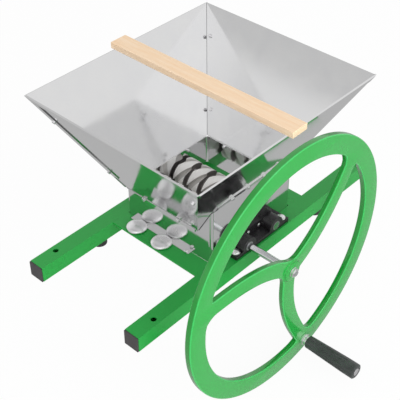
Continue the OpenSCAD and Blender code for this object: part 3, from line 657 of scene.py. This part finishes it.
def laid_along_x(mesh, x, y, z):
    """Turns a mesh made about Z to lie along X, from the given point in metres."""
    mesh.transform(Matrix.Translation((x, y, z)) @ Matrix.Rotation(math.radians(90), 4, "Y"))
    return mesh


def joined(name, meshes):
    """Several meshes as one, in the order given."""
    shape = bmesh.new()
    for mesh in meshes:
        shape.from_mesh(mesh)
    result = bpy.data.meshes.new(name)
    shape.to_mesh(result)
    shape.free()
    return result


def hexagon(width, low, high, chamfer):
    """A hexagon head between two heights, with its top corners turned off."""
    corner = width / math.sqrt(3)
    side = [(0, low), (corner, low), (corner, high - chamfer)]
    side += [(corner - chamfer * CHAMFER_SLOPE, high), (0, high)]
    mesh = turned("hexagon", side, segments=6)
    for face in mesh.polygons:
        face.use_smooth = False
    return mesh


def geometry_tree(name, inputs):
    """A geometry tree with named inputs, as (label, socket type, default) rows."""
    tree = bpy.data.node_groups.new(name, "GeometryNodeTree")
    tree.interface.new_socket("Geometry", in_out="INPUT", socket_type="NodeSocketGeometry")
    for label, kind, default in inputs:
        socket = tree.interface.new_socket(label, in_out="INPUT", socket_type=kind)
        if default is not None:
            socket.default_value = default
    tree.interface.new_socket("Geometry", in_out="OUTPUT", socket_type="NodeSocketGeometry")
    return tree


def repeat_tree():
    """Sets a piece on every point, along the point's axis, with a turn of its own."""
    tree = geometry_tree(
        "repeat_on_points",
        [
            ("Piece", "NodeSocketObject", None),
            ("Size", "NodeSocketFloat", 1.0),
            ("Spin", "NodeSocketFloat", 0.0),
            ("Seed", "NodeSocketInt", 1),
            ("Finish", "NodeSocketMaterial", None),
        ],
    )
    given = add_node(tree, "NodeGroupInput").outputs
    piece = add_node(tree, "GeometryNodeObjectInfo", inputs={"Object": given["Piece"]})
    axis = add_node(tree, "GeometryNodeInputNamedAttribute", {"data_type": "FLOAT_VECTOR"}, {"Name": "axis"})
    aligned = add_node(
        tree, "FunctionNodeAlignRotationToVector", {"axis": "Z"}, {"Vector": axis.outputs["Attribute"]}
    )
    turn = add_node(
        tree, "FunctionNodeRandomValue", {"data_type": "FLOAT"}, {"Seed": given["Seed"], 3: given["Spin"]}
    )
    spin = add_node(tree, "ShaderNodeCombineXYZ", inputs={"Z": turn.outputs[1]})
    turned_by = add_node(tree, "FunctionNodeEulerToRotation", inputs={0: spin.outputs[0]})
    rotation = add_node(
        tree,
        "FunctionNodeRotateRotation",
        {"rotation_space": "LOCAL"},
        {0: aligned.outputs[0], 1: turned_by.outputs[0]},
    )
    placed = add_node(
        tree,
        "GeometryNodeInstanceOnPoints",
        inputs={
            "Points": given["Geometry"],
            "Instance": piece.outputs["Geometry"],
            "Rotation": rotation.outputs[0],
            "Scale": given["Size"],
        },
    )
    real = add_node(tree, "GeometryNodeRealizeInstances", inputs={"Geometry": placed.outputs["Instances"]})
    dressed = add_node(
        tree,
        "GeometryNodeSetMaterial",
        inputs={"Geometry": real.outputs["Geometry"], "Material": given["Finish"]},
    )
    add_node(tree, "NodeGroupOutput", inputs={"Geometry": dressed.outputs["Geometry"]})
    return tree


REPEAT = repeat_tree()


def repeated(name, mesh, seats, slot, spin=0.0, seed=1):
    """The mesh set on every seat, which is a place and an axis, as one plain mesh."""
    template = bpy.data.objects.new(name + "_template", mesh)
    bpy.context.scene.collection.objects.link(template)
    points = bpy.data.meshes.new(name + "_seats")
    points.from_pydata([tuple(place) for place, _ in seats], [], [])
    axis = points.attributes.new("axis", "FLOAT_VECTOR", "POINT")
    axis.data.foreach_set("vector", np.array([tuple(a) for _, a in seats], np.float32).ravel())
    holder = bpy.data.objects.new(name + "_holder", points)
    bpy.context.scene.collection.objects.link(holder)
    grow = holder.modifiers.new("repeat", "NODES")
    grow.node_group = REPEAT
    values = {"Piece": template, "Size": 1.0, "Spin": spin, "Seed": seed, "Finish": FINISH[slot]}
    for item in REPEAT.interface.items_tree:
        if item.in_out == "INPUT" and item.name in values:
            grow[item.identifier] = values[item.name]
    result = plain_mesh(holder)
    bpy.data.objects.remove(holder)
    bpy.data.objects.remove(template)
    return result


def centre(box):
    """The middle of a solid's box."""
    return Vector((box[0] + box[1]) / 2)


def hexagon_bolts(node, axis_of, grip, seed):
    """Hexagon bolts with their nuts run on, set where the CAD node has its plain ones."""
    seats = [(centre(box), axis_of(centre(box))) for box in solids_of(node)]
    half, radius = grip / 2, BOLT_THREAD / 2
    end = half + BOLT_HEIGHT
    tip = -end - THREAD_PROUD
    head = hexagon(BOLT_HEAD, half, end, HEAD_CHAMFER)
    nut = hexagon(BOLT_HEAD, -end, -half, NUT_CHAMFER)
    thread = [(0, tip), (radius - THREAD_CHAMFER, tip), (radius, tip + THREAD_CHAMFER)]
    thread += [(radius, half), (0, half)]
    bolt = joined("bolt", [head, nut, turned("shank", thread, segments=20)])
    mesh = repeated(node, bolt, seats, "zinc_fastener", 2 * math.pi, seed)
    return new_piece(node + "_piece", mesh, "zinc_fastener", "frame", node)


def domed_heads(node, profile, shank_length):
    """Domed heads on the CAD node's upright bolts: the profile is the head, with its shank below."""
    seats = []
    for low, high in solids_of(node):
        middle = centre((low, high))
        seats.append((Vector((middle.x, middle.y, high[2])), Vector((0, 0, 1))))
    top = max(height for _, height in profile)
    head = [(radius, height - top) for radius, height in profile]
    end = -top - shank_length
    shank = [(HEAD_SHANK_RADIUS, -top), (HEAD_SHANK_RADIUS, end), (0, end)]
    mesh = repeated(node, turned(node + "_head", head + shank), seats, "zinc_fastener")
    return new_piece(node + "_piece", mesh, "zinc_fastener", "frame", node)


def wheel_facts():
    """The flywheel's centre, radii and angles, from the CAD model and its joints."""
    low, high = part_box("flywheel")
    hub = Vector(JOINTS["crank_turn"]["pos_m"])
    handle = Vector(JOINTS["grip_spin"]["pos_m"]) - hub
    return {
        "hub": hub,
        "radius": (high.y - low.y) / 2 / MM,
        "front": high.x / MM - HUB_PROUD,
        "hub_front": high.x / MM,
        "hub_back": low.x / MM,
        "handle_r": math.hypot(handle.y, handle.z) / MM,
        "handle_angle": math.degrees(math.atan2(handle.z, handle.y)),
    }


def spoke_point(wheel, r, turn, side, fillet):
    """A point on a spoke's side at radius r, spreading into the rim over the fillet."""
    inner = wheel["radius"] - RIM_WIDTH
    near_rim = max(0.0, fillet - (inner - r))
    flare = fillet - math.sqrt(max(0.0, fillet**2 - near_rim**2))
    lag = SPOKE_SWEEP * max(0.0, 1 - r / wheel["handle_r"]) ** SPOKE_BEND
    angle = math.radians(wheel["handle_angle"] + turn - lag)
    half = SPOKE_WIDTH / 2 + flare
    c, s = math.cos(angle), math.sin(angle)
    return Vector((r * c - side * half * s, r * s + side * half * c))


def crossing(a, b, c, d):
    """Where the line through a and b meets the line through c and d."""
    ab, cd = b - a, d - c
    t = ((c.x - a.x) * cd.y - (c.y - a.y) * cd.x) / (ab.x * cd.y - ab.y * cd.x)
    return a + ab * t


def window_loop(wheel, turn):
    """The outline of one opening between two spokes, in the wheel's plane."""
    inner = wheel["radius"] - RIM_WIDTH
    radii = list(np.linspace(CROTCH_START, inner, SPOKE_STEPS))
    step = 360 / SPOKES
    first = [spoke_point(wheel, r, turn, 1, FILLET_FAR) for r in radii]
    second = [spoke_point(wheel, r, turn + step, -1, FILLET_NEAR) for r in radii]
    first = [p for p in first if p.length < inner - RIM_GAP]
    second = [p for p in second if p.length < inner - RIM_GAP]
    start = math.atan2(first[-1].y, first[-1].x)
    end = math.atan2(second[-1].y, second[-1].x)
    while end < start:
        end += 2 * math.pi
    count = int((end - start) / math.radians(ARC_STEP))
    arc = [start + (end - start) * i / count for i in range(1, count)]
    rim = [Vector((inner * math.cos(t), inner * math.sin(t))) for t in arc]
    corner = crossing(first[0], first[1], second[0], second[1])
    shares = [i / CROTCH_STEPS for i in range(1, CROTCH_STEPS)]
    crotch = [second[0] * (1 - t) ** 2 + corner * 2 * t * (1 - t) + first[0] * t**2 for t in shares]
    return first + rim + second[::-1] + crotch


def flywheel_plate(wheel):
    """Rim and spokes as one casting with rounded edges, each face with its place in WHEEL_FINISHES."""
    outline = bpy.data.curves.new("wheel_outline", "CURVE")
    outline.dimensions = "2D"
    outline.fill_mode = "BOTH"
    outline.extrude = (WHEEL_THICKNESS / 2 - WHEEL_EDGE) * MM
    outline.bevel_depth = WHEEL_EDGE * MM
    outline.bevel_resolution = 4
    outline.offset = -WHEEL_EDGE * MM
    turns = [2 * math.pi * i / WHEEL_STEPS for i in range(WHEEL_STEPS)]
    loops = [[Vector((wheel["radius"] * math.cos(t), wheel["radius"] * math.sin(t))) for t in turns]]
    loops += [window_loop(wheel, k * 360 / SPOKES) for k in range(SPOKES)]
    for loop in loops:
        spline = outline.splines.new("POLY")
        spline.points.add(len(loop) - 1)
        for point, place in zip(spline.points, loop):
            point.co = (place.x * MM, place.y * MM, 0, 1)
        spline.use_cyclic_u = True
    holder = bpy.data.objects.new("wheel_outline", outline)
    bpy.context.scene.collection.objects.link(holder)
    mesh = plain_mesh(holder)
    bpy.data.objects.remove(holder)
    shape = bmesh.new()
    shape.from_mesh(mesh)
    bmesh.ops.remove_doubles(shape, verts=shape.verts, dist=WELD_GAP * MM)
    inner = (wheel["radius"] - RIM_WIDTH) * MM
    for vertex in shape.verts:
        depth = min(1.0, max(0.0, (inner - vertex.co.xy.length) / (SPOKE_RAMP * MM)))
        if vertex.co.z < 0:
            vertex.co.z += (WHEEL_THICKNESS - SPOKE_THICKNESS) * MM * depth
    bmesh.ops.recalc_face_normals(shape, faces=shape.faces)
    result = bpy.data.meshes.new("flywheel_plate")
    shape.to_mesh(result)
    shape.free()
    for face in result.polygons:
        in_front = face.center.z > (WHEEL_THICKNESS / 2 - WHEEL_EDGE) * MM
        # Sides take the deeper tint that paints their shade, front edges the paler tint that paints their
        # highlight
        if abs(face.normal.z) < SIDE_TILT:
            face.material_index = WHEEL_FINISHES.index("wheel_painted_shade")
        elif in_front and face.normal.z < FLAT_TILT:
            face.material_index = WHEEL_FINISHES.index("wheel_painted_highlight")
    middle = wheel["front"] - WHEEL_THICKNESS / 2
    stand = Matrix(((0, 0, 1, 0), (1, 0, 0, 0), (0, 1, 0, 0), (0, 0, 0, 1)))
    result.transform(Matrix.Translation((middle * MM, wheel["hub"].y, wheel["hub"].z)) @ stand)
    return result


def flywheel():
    """The cast flywheel: plate, and a hub boss that swells out of its front."""
    wheel = wheel_facts()
    radius, edge = HUB_DIAMETER / 2, HUB_EDGE
    front, back = wheel["hub_front"], wheel["hub_back"]
    face = wheel["front"]
    foot = []
    for angle in (90, 60, 30, 0):
        t = math.radians(angle)
        out, up = HUB_FILLET * (1 - math.sin(t)), HUB_FILLET * (1 - math.cos(t))
        foot.append((radius + out, face - HUB_SUNK + up))
    mid_edge = edge * ROUND_SHARE
    profile = [(0, front), (radius - edge, front), (radius - mid_edge, front - mid_edge)]
    profile += [(radius, front - edge)] + foot
    profile += [(radius, back + edge), (radius - edge, back), (0, back)]
    boss = turned("hub_boss", profile, segments=64)
    laid_along_x(boss, 0, wheel["hub"].y, wheel["hub"].z)
    mesh = joined("flywheel_piece", [flywheel_plate(wheel), boss])
    smooth(mesh, angle=40)
    for finish in WHEEL_FINISHES:
        mesh.materials.append(FINISH[finish])
    return new_piece("flywheel_piece", mesh, "wheel_paint", "crank", "flywheel")


def hub_nut():
    """The chamfered nut and washer on the crank shaft's end."""
    for node in ("hub_nut", "hub_washer"):
        low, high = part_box(node)
        y, z = JOINTS["crank_turn"]["pos_m"][1:]
        x0, x1 = low.x / MM, high.x / MM
        width = (high.z - low.z) / MM
        if node == "hub_nut":
            mesh = hexagon(width, x0, x1, NUT_EDGE)
        else:
            bore, rim = WASHER_BORE_RADIUS, width / 2
            across, along = WASHER_EDGE
            back = [(bore, x0), (rim - across, x0), (rim, x0 + along)]
            front = [(rim, x1 - along), (rim - across, x1), (bore, x1)]
            mesh = turned(node, back + front)
        laid_along_x(mesh, 0, y, z)
        new_piece(node + "_piece", mesh, "zinc_fastener", "crank", node)


def grip():
    """The moulded grip: it widens towards its end, with long shallow flutes for the fingers."""
    low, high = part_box("handle_grip")
    y, z = JOINTS["grip_spin"]["pos_m"][1:]
    length = (high.x - low.x) / MM
    base, wide = GRIP_BASE / 2, (high.z - low.z) / 2 / MM
    shape = bmesh.new()
    rings = []
    profile = [(GRIP_BORE_RADIUS, 0.0), (base - GRIP_EDGE, 0.0)]
    for i in range(GRIP_ROWS + 1):
        x = length * i / GRIP_ROWS
        radius = base + (wide - base) * min(1.0, x / (WIDENING_SHARE * length))
        start, end = min(x, GRIP_EDGE), min(length - x, GRIP_EDGE)
        for gap in (start, end):
            radius -= GRIP_EDGE - math.sqrt(max(0.0, GRIP_EDGE**2 - (GRIP_EDGE - gap) ** 2))
        profile.append((radius, x))
    rim, sunk = wide - GRIP_EDGE - END_RING, length - END_SUNK
    profile += [(rim, length), (rim - END_SUNK, sunk), (POCKET_RADIUS + POCKET_EDGE, sunk)]
    profile += [(POCKET_RADIUS, sunk - END_SUNK), (POCKET_RADIUS, length - POCKET_DEPTH)]
    profile += [(POCKET_HOLE_RADIUS, length - POCKET_DEPTH)]
    flute_start, flute_length = FLUTE_SHARES
    for radius, x in profile:
        along = (x / length - flute_start) / flute_length
        oval = math.sqrt(max(0.0, 1 - (2 * along - 1) ** 2)) if 0 < along < 1 else 0.0
        ring = []
        for j in range(GRIP_STEPS):
            t = 2 * math.pi * j / GRIP_STEPS
            groove = max(0.0, math.cos(FLUTES * t)) ** FLUTE_SOFTNESS
            r = radius - FLUTE_DEPTH * groove * oval
            ring.append(shape.verts.new((r * MM * math.cos(t), r * MM * math.sin(t), x * MM)))
        rings.append(ring)
    for below, above in zip(rings, rings[1:]):
        for j in range(GRIP_STEPS):
            k = (j + 1) % GRIP_STEPS
            shape.faces.new((below[j], below[k], above[k], above[j]))
    bmesh.ops.recalc_face_normals(shape, faces=shape.faces)
    mesh = bpy.data.meshes.new("handle_grip_piece")
    shape.to_mesh(mesh)
    shape.free()
    smooth(mesh, angle=45)
    laid_along_x(mesh, low.x, y, z)
    return new_piece("handle_grip_piece", mesh, "grip_plastic", "grip", "handle_grip")


def roller_profile(outer):
    """One blade's turn as rows of its share of the turn, its radius and the finish that follows.

    Low ribs stand on a round back. Then a notch is cut in front of the next blade.
    """
    valley = outer - RIB_HEIGHT
    rows = []
    step = (1 - NOTCH_SHARE) / RIBS_PER_BLADE
    for rib in range(RIBS_PER_BLADE):
        start = rib * step
        rise_end, fall_start, fall_end = [start + share * step for share in RIB_SHARES]
        places = ((start, valley), (rise_end, outer), (fall_start, outer), (fall_end, valley))
        rows += [(share, radius, "roller_casting") for share, radius in places]
    # The notch takes the valley's greyer finish, which paints its shade
    rows.append((1 - NOTCH_SHARE, valley, "roller_shaded_valley"))
    rows += [(share, outer - NOTCH_DEPTH, "roller_shaded_valley") for share in NOTCH_FLOOR_SHARES]
    return rows


def toothed_roller(node, body, y, z, flip):
    """A roller: toothed bands on a round core, with blades that run on in a helix from band to band.

    A column is a place along the roller, its turn, and its radius where that is the same all round.
    """
    low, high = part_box(node)
    start, end = low.x / MM, high.x / MM
    outer = (high.z - low.z) / 2 / MM
    pitch = (end - start - END_BOSS - BAND_WIDTH) / (BANDS - 1)
    blade = roller_profile(outer)
    rows = []
    for number in range(BLADES):
        rows += [((number + share) / BLADES, radius, finish) for share, radius, finish in blade]
    columns = [(start, 0.0, AXLE_RADIUS), (start, 0.0, CORE_RADIUS)]
    for band in range(BANDS):
        x0 = start + END_BOSS + band * pitch
        columns.append((x0, (x0 - start) * HELIX, CORE_RADIUS))
        for step in range(BAND_STEPS + 1):
            x = x0 + BAND_WIDTH * step / BAND_STEPS
            columns.append((x, (x - start) * HELIX, None))
        columns.append((x, (x - start) * HELIX, CORE_RADIUS))
    columns.append((end, (end - start) * HELIX, AXLE_RADIUS))
    shape = bmesh.new()
    rings = []
    for x, turn, fixed in columns:
        ring = []
        for share, radius, _ in rows:
            t = math.radians(360 * share + turn)
            r = (radius if fixed is None else fixed) * MM
            ring.append(shape.verts.new((x * MM, y + flip * r * math.cos(t), z + r * math.sin(t))))
        rings.append(ring)
    for k, (below, above) in enumerate(zip(rings, rings[1:])):
        toothed = columns[k][2] is None and columns[k + 1][2] is None
        for i in range(len(rows)):
            j = (i + 1) % len(rows)
            face = shape.faces.new((below[i], below[j], above[j], above[i]))
            # Faces off the bands take the core's dark grey, which paints the shade between the bands
            face.material_index = ROLLER_FINISHES.index(rows[i][2] if toothed else "roller_shaded_core")
    bmesh.ops.recalc_face_normals(shape, faces=shape.faces)
    mesh = bpy.data.meshes.new(node + "_piece")
    shape.to_mesh(mesh)
    shape.free()
    smooth(mesh, angle=25)
    for finish in ROLLER_FINISHES:
        mesh.materials.append(FINISH[finish])
    return new_piece(node + "_piece", mesh, "roller_casting", body, node)


def frame_pieces():
    """Rails, crossbars, plugs, and the feet with their screws."""
    for node in ("rail_left", "rail_right"):
        softened(node, "frame_paint", RAIL_EDGE, segments=3)
    for node in ("crossbar_front", "crossbar_rear"):
        softened(node, "frame_paint", BAR_EDGE)
    softened("rail_plugs", "plug_plastic", PLUG_EDGE, segments=3)
    softened("rubber_feet", "black_rubber", FOOT_EDGE, segments=3)
    softened("foot_screws", "zinc_fastener", FOOT_SCREW_EDGE)


def sheet_pieces():
    """Box, partition and the four hopper panels."""
    panels = ("hopper_front", "hopper_back", "hopper_left", "hopper_right")
    for node in panels + ("crusher_box", "gear_partition"):
        softened(node, "polished_sheet", SHEET_EDGE)
    seam_edges()


def seam_edges():
    """The folded edge where each end panel meets its skirt, with a black rod above it that paints the shade
    of the gap there.

    The rod is in the black casting's finish, the second of the box's two.
    """
    low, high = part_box("hopper_front")
    start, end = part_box("crusher_box")[0].x + EDGE_INSET * MM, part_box("hopper_right")[0].x
    length, skirt_y = (end - start) / MM, high.y - SKIRT_THICKNESS * MM
    parts = []
    # The lower rod is the bright fold; the upper one takes the box's second finish, black, to paint the
    # gap's shade
    for height, finish in ((SKIRT_HEIGHT - EDGE_RADIUS, 0), (SKIRT_HEIGHT + EDGE_RADIUS, 1)):
        for side in (1, -1):
            rod = turned("rod", [(0, 0), (EDGE_RADIUS, 0), (EDGE_RADIUS, length), (0, length)], segments=12)
            laid_along_x(rod, start, side * skirt_y, low.z + height * MM)
            rod.polygons.foreach_set("material_index", [finish] * len(rod.polygons))
            parts.append(rod)
    box = bpy.data.objects["crusher_box_piece"]
    box.data.materials.append(FINISH["black_casting"])
    shape = bmesh.new()
    for mesh in [box.data] + parts:
        shape.from_mesh(mesh)
    shape.to_mesh(box.data)
    shape.free()


def end_axis(place):
    """The way that a bolt through one of the hopper's end panels points."""
    n = main_normal("hopper_back")
    n = n if n.y < 0 else -n
    outward = Vector((n.x, -n.y, -n.z))
    return outward if place.y > 0 else Vector((outward.x, -outward.y, outward.z))


def fasteners():
    """Every bolt that shows."""
    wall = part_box("crusher_box")[1].y - WALL_MARGIN * MM
    slope = main_normal("hopper_right")
    slope = -slope if slope.x < 0 else slope

    def skirt_axis(place):
        if abs(place.y) < wall:
            return Vector((-1, 0, 0))
        return Vector((0, math.copysign(1, place.y), 0))

    hexagon_bolts("corner_bolts", end_axis, SHEETS, seed=3)
    hexagon_bolts("skirt_bolts", skirt_axis, SHEETS, seed=5)
    hexagon_bolts("seam_bolts", lambda place: slope, SHEETS, seed=7)
    hexagon_bolts("tab_bolts", lambda place: Vector((0, 0, 1)), TAB_AND_BAR, seed=9)
    domed_heads("bracket_bolts", DOME, DOME_SHANK)
    domed_heads("clamp_buttons", DISC, DISC_SHANK)


def machine_pieces():
    """Brackets, bushes, shafts, gears, and the small pieces on the rollers and the crank."""
    for node in ("bracket_left", "bracket_right"):
        softened(node, "black_casting", CASTING_EDGE, segments=3)
    softened("wall_screws", "zinc_fastener", WALL_SCREW_EDGE)
    softened("shaft_bushes", "bush_steel", BUSH_EDGE)
    for node in ("crank_shaft", "idler_shaft"):
        softened(node, "shaft_steel", SHAFT_EDGE)
    for node in ("crank_keys", "idler_key", "drive_gear", "driven_gear"):
        softened(node, "gear_steel", GEAR_EDGE, segments=1)
    for node in ("front_roller_pin", "rear_roller_pin"):
        softened(node, "zinc_fastener", PIN_EDGE)
    for node in ("handle_spindle", "handle_collars", "handle_nut"):
        softened(node, "zinc_fastener", HANDLE_EDGE)


def camera():
    """The camera, where the photographer's stood."""
    data = bpy.data.cameras.new("camera")
    data.lens = CAMERA_LENS
    data.sensor_width = SENSOR_WIDTH
    data.clip_end = VIEW_LIMIT
    eye = bpy.data.objects.new("camera", data)
    eye.location = CAMERA_PLACE
    eye.rotation_euler = [math.radians(a) for a in CAMERA_TURN]
    bpy.context.scene.collection.objects.link(eye)
    bpy.context.scene.camera = eye


def seen_share(tree):
    """1 for rays that look at the background, in the open, in metal or through glass."""
    path = add_node(tree, "ShaderNodeLightPath").outputs
    either = {0: path["Is Camera Ray"], 1: path["Is Glossy Ray"]}
    first = add_node(tree, "ShaderNodeMath", {"operation": "MAXIMUM"}, either)
    both = {0: first.outputs[0], 1: path["Is Transmission Ray"]}
    return add_node(tree, "ShaderNodeMath", {"operation": "MAXIMUM"}, both).outputs[0], path


def patch(tree, way, middle, outside, inside, edge):
    """A round patch of the sky about one direction, between the cosines at its outer and inner edge."""
    facing = add_node(tree, "ShaderNodeVectorMath", {"operation": "DOT_PRODUCT"}, {0: way, 1: middle})
    return between(tree, facing.outputs["Value"], outside, inside, *edge)


def surroundings():
    """The sky: white to the eye, plain as light, and with three soft patches in reflections.

    A paler patch is above the camera, a greyer one high at the left and a dark one level with the
    wheel, as the photograph's polished sheet shows them.
    """
    world = bpy.data.worlds.new("studio")
    bpy.context.scene.world = world
    world.use_nodes = True
    tree = world.node_tree
    tree.nodes.clear()
    seen, path = seen_share(tree)
    way = add_node(tree, "ShaderNodeTexCoord").outputs["Generated"]
    shade = patch(tree, way, FLAG_WAY, SKY_IN_METAL, SKY_IN_METAL - FLAG_LOSS, FLAG_EDGE)
    gleam = patch(tree, way, KEY_WAY, 0.0, KEY_GAIN, KEY_EDGE)
    strip = patch(tree, way, STRIP_WAY, 0.0, -STRIP_LOSS, STRIP_EDGE)
    grey = add_node(tree, "ShaderNodeMath", {"operation": "ADD"}, {0: shade, 1: gleam})
    whole = add_node(tree, "ShaderNodeMath", {"operation": "ADD"}, {0: grey.outputs[0], 1: strip})
    inputs = {"Factor": path["Is Camera Ray"], "A": whole.outputs[0], "B": 1.0}
    white = add_node(tree, "ShaderNodeMix", inputs=inputs)
    light = add_node(tree, "ShaderNodeBackground", inputs={"Strength": SKY_LIGHT})
    shown = add_node(tree, "ShaderNodeBackground", inputs={"Strength": white.outputs[0]})
    for background in (light, shown):
        background.inputs["Color"].default_value = (1, 1, 1, 1)
    inputs = {0: seen, 1: light.outputs[0], 2: shown.outputs[0]}
    mixed = add_node(tree, "ShaderNodeMixShader", inputs=inputs)
    add_node(tree, "ShaderNodeOutputWorld", inputs={"Surface": mixed.outputs[0]})


def pale_floor():
    """A pale floor that takes the shadow, white to the eye and mid grey in metal."""
    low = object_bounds()[0]
    bpy.ops.mesh.primitive_plane_add(size=FLOOR_SIZE, location=(0, 0, low.z - FLOOR_GAP * MM))
    floor = bpy.context.object
    floor.name = "floor"
    material = bpy.data.materials.new("pale_floor")
    material.use_nodes = True
    tree = material.node_tree
    tree.nodes.clear()
    seen, path = seen_share(tree)
    matt = add_node(tree, "ShaderNodeBsdfDiffuse", inputs={"Color": linear("#F4F4F4")})
    white = between(tree, path["Is Camera Ray"], FLOOR_IN_METAL, 1.0, 0.0, 1.0)
    glow = add_node(tree, "ShaderNodeEmission", inputs={"Strength": white})
    share = add_node(tree, "ShaderNodeMath", {"operation": "MULTIPLY"}, {0: seen, 1: FLOOR_SHARE})
    inputs = {0: share.outputs[0], 1: matt.outputs[0], 2: glow.outputs[0]}
    mixed = add_node(tree, "ShaderNodeMixShader", inputs=inputs)
    add_node(tree, "ShaderNodeOutputMaterial", inputs={"Surface": mixed.outputs[0]})
    floor.data.materials.append(material)
    floor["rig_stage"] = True


def lamp(name, size, distance, way, radiance):
    """A flat soft lamp that faces the part: size in metres, way as azimuth and elevation.

    Reflections don't show it, because they already show the sky behind it.
    """
    data = bpy.data.lights.new(name, "AREA")
    data.shape = "RECTANGLE"
    data.size, data.size_y = size
    data.energy = radiance * math.pi * size[0] * size[1]
    turn, rise = (math.radians(a) for a in way)
    towards = Vector((math.cos(turn) * math.cos(rise), math.sin(turn) * math.cos(rise), math.sin(rise)))
    holder = bpy.data.objects.new(name, data)
    holder.location = distance * towards + Vector((0, 0, LAMP_AIM))
    holder.rotation_euler = (-towards).to_track_quat("-Z", "Y").to_euler()
    holder.visible_glossy = False
    bpy.context.scene.collection.objects.link(holder)


def main():
    """Builds every piece and the studio round them."""
    camera()
    frame_pieces()
    sheet_pieces()
    fasteners()
    machine_pieces()
    crank_y, crank_z = JOINTS["crank_turn"]["pos_m"][1:]
    idler_y, idler_z = JOINTS["idler_turn"]["pos_m"][1:]
    toothed_roller("front_roller", "crank", crank_y, crank_z, 1)
    toothed_roller("rear_roller", "idler", idler_y, idler_z, -1)
    flywheel()
    hub_nut()
    grip()
    bar = softened("pusher_bar", "beech", WOOD_EDGE, segments=3)
    # The photograph's sheet doesn't mirror the bar
    bar.visible_glossy = False
    surroundings()
    pale_floor()
    for name, facts in LAMPS.items():
        lamp(name, *facts)
    bpy.context.scene.view_settings.view_transform = "Standard"


main()
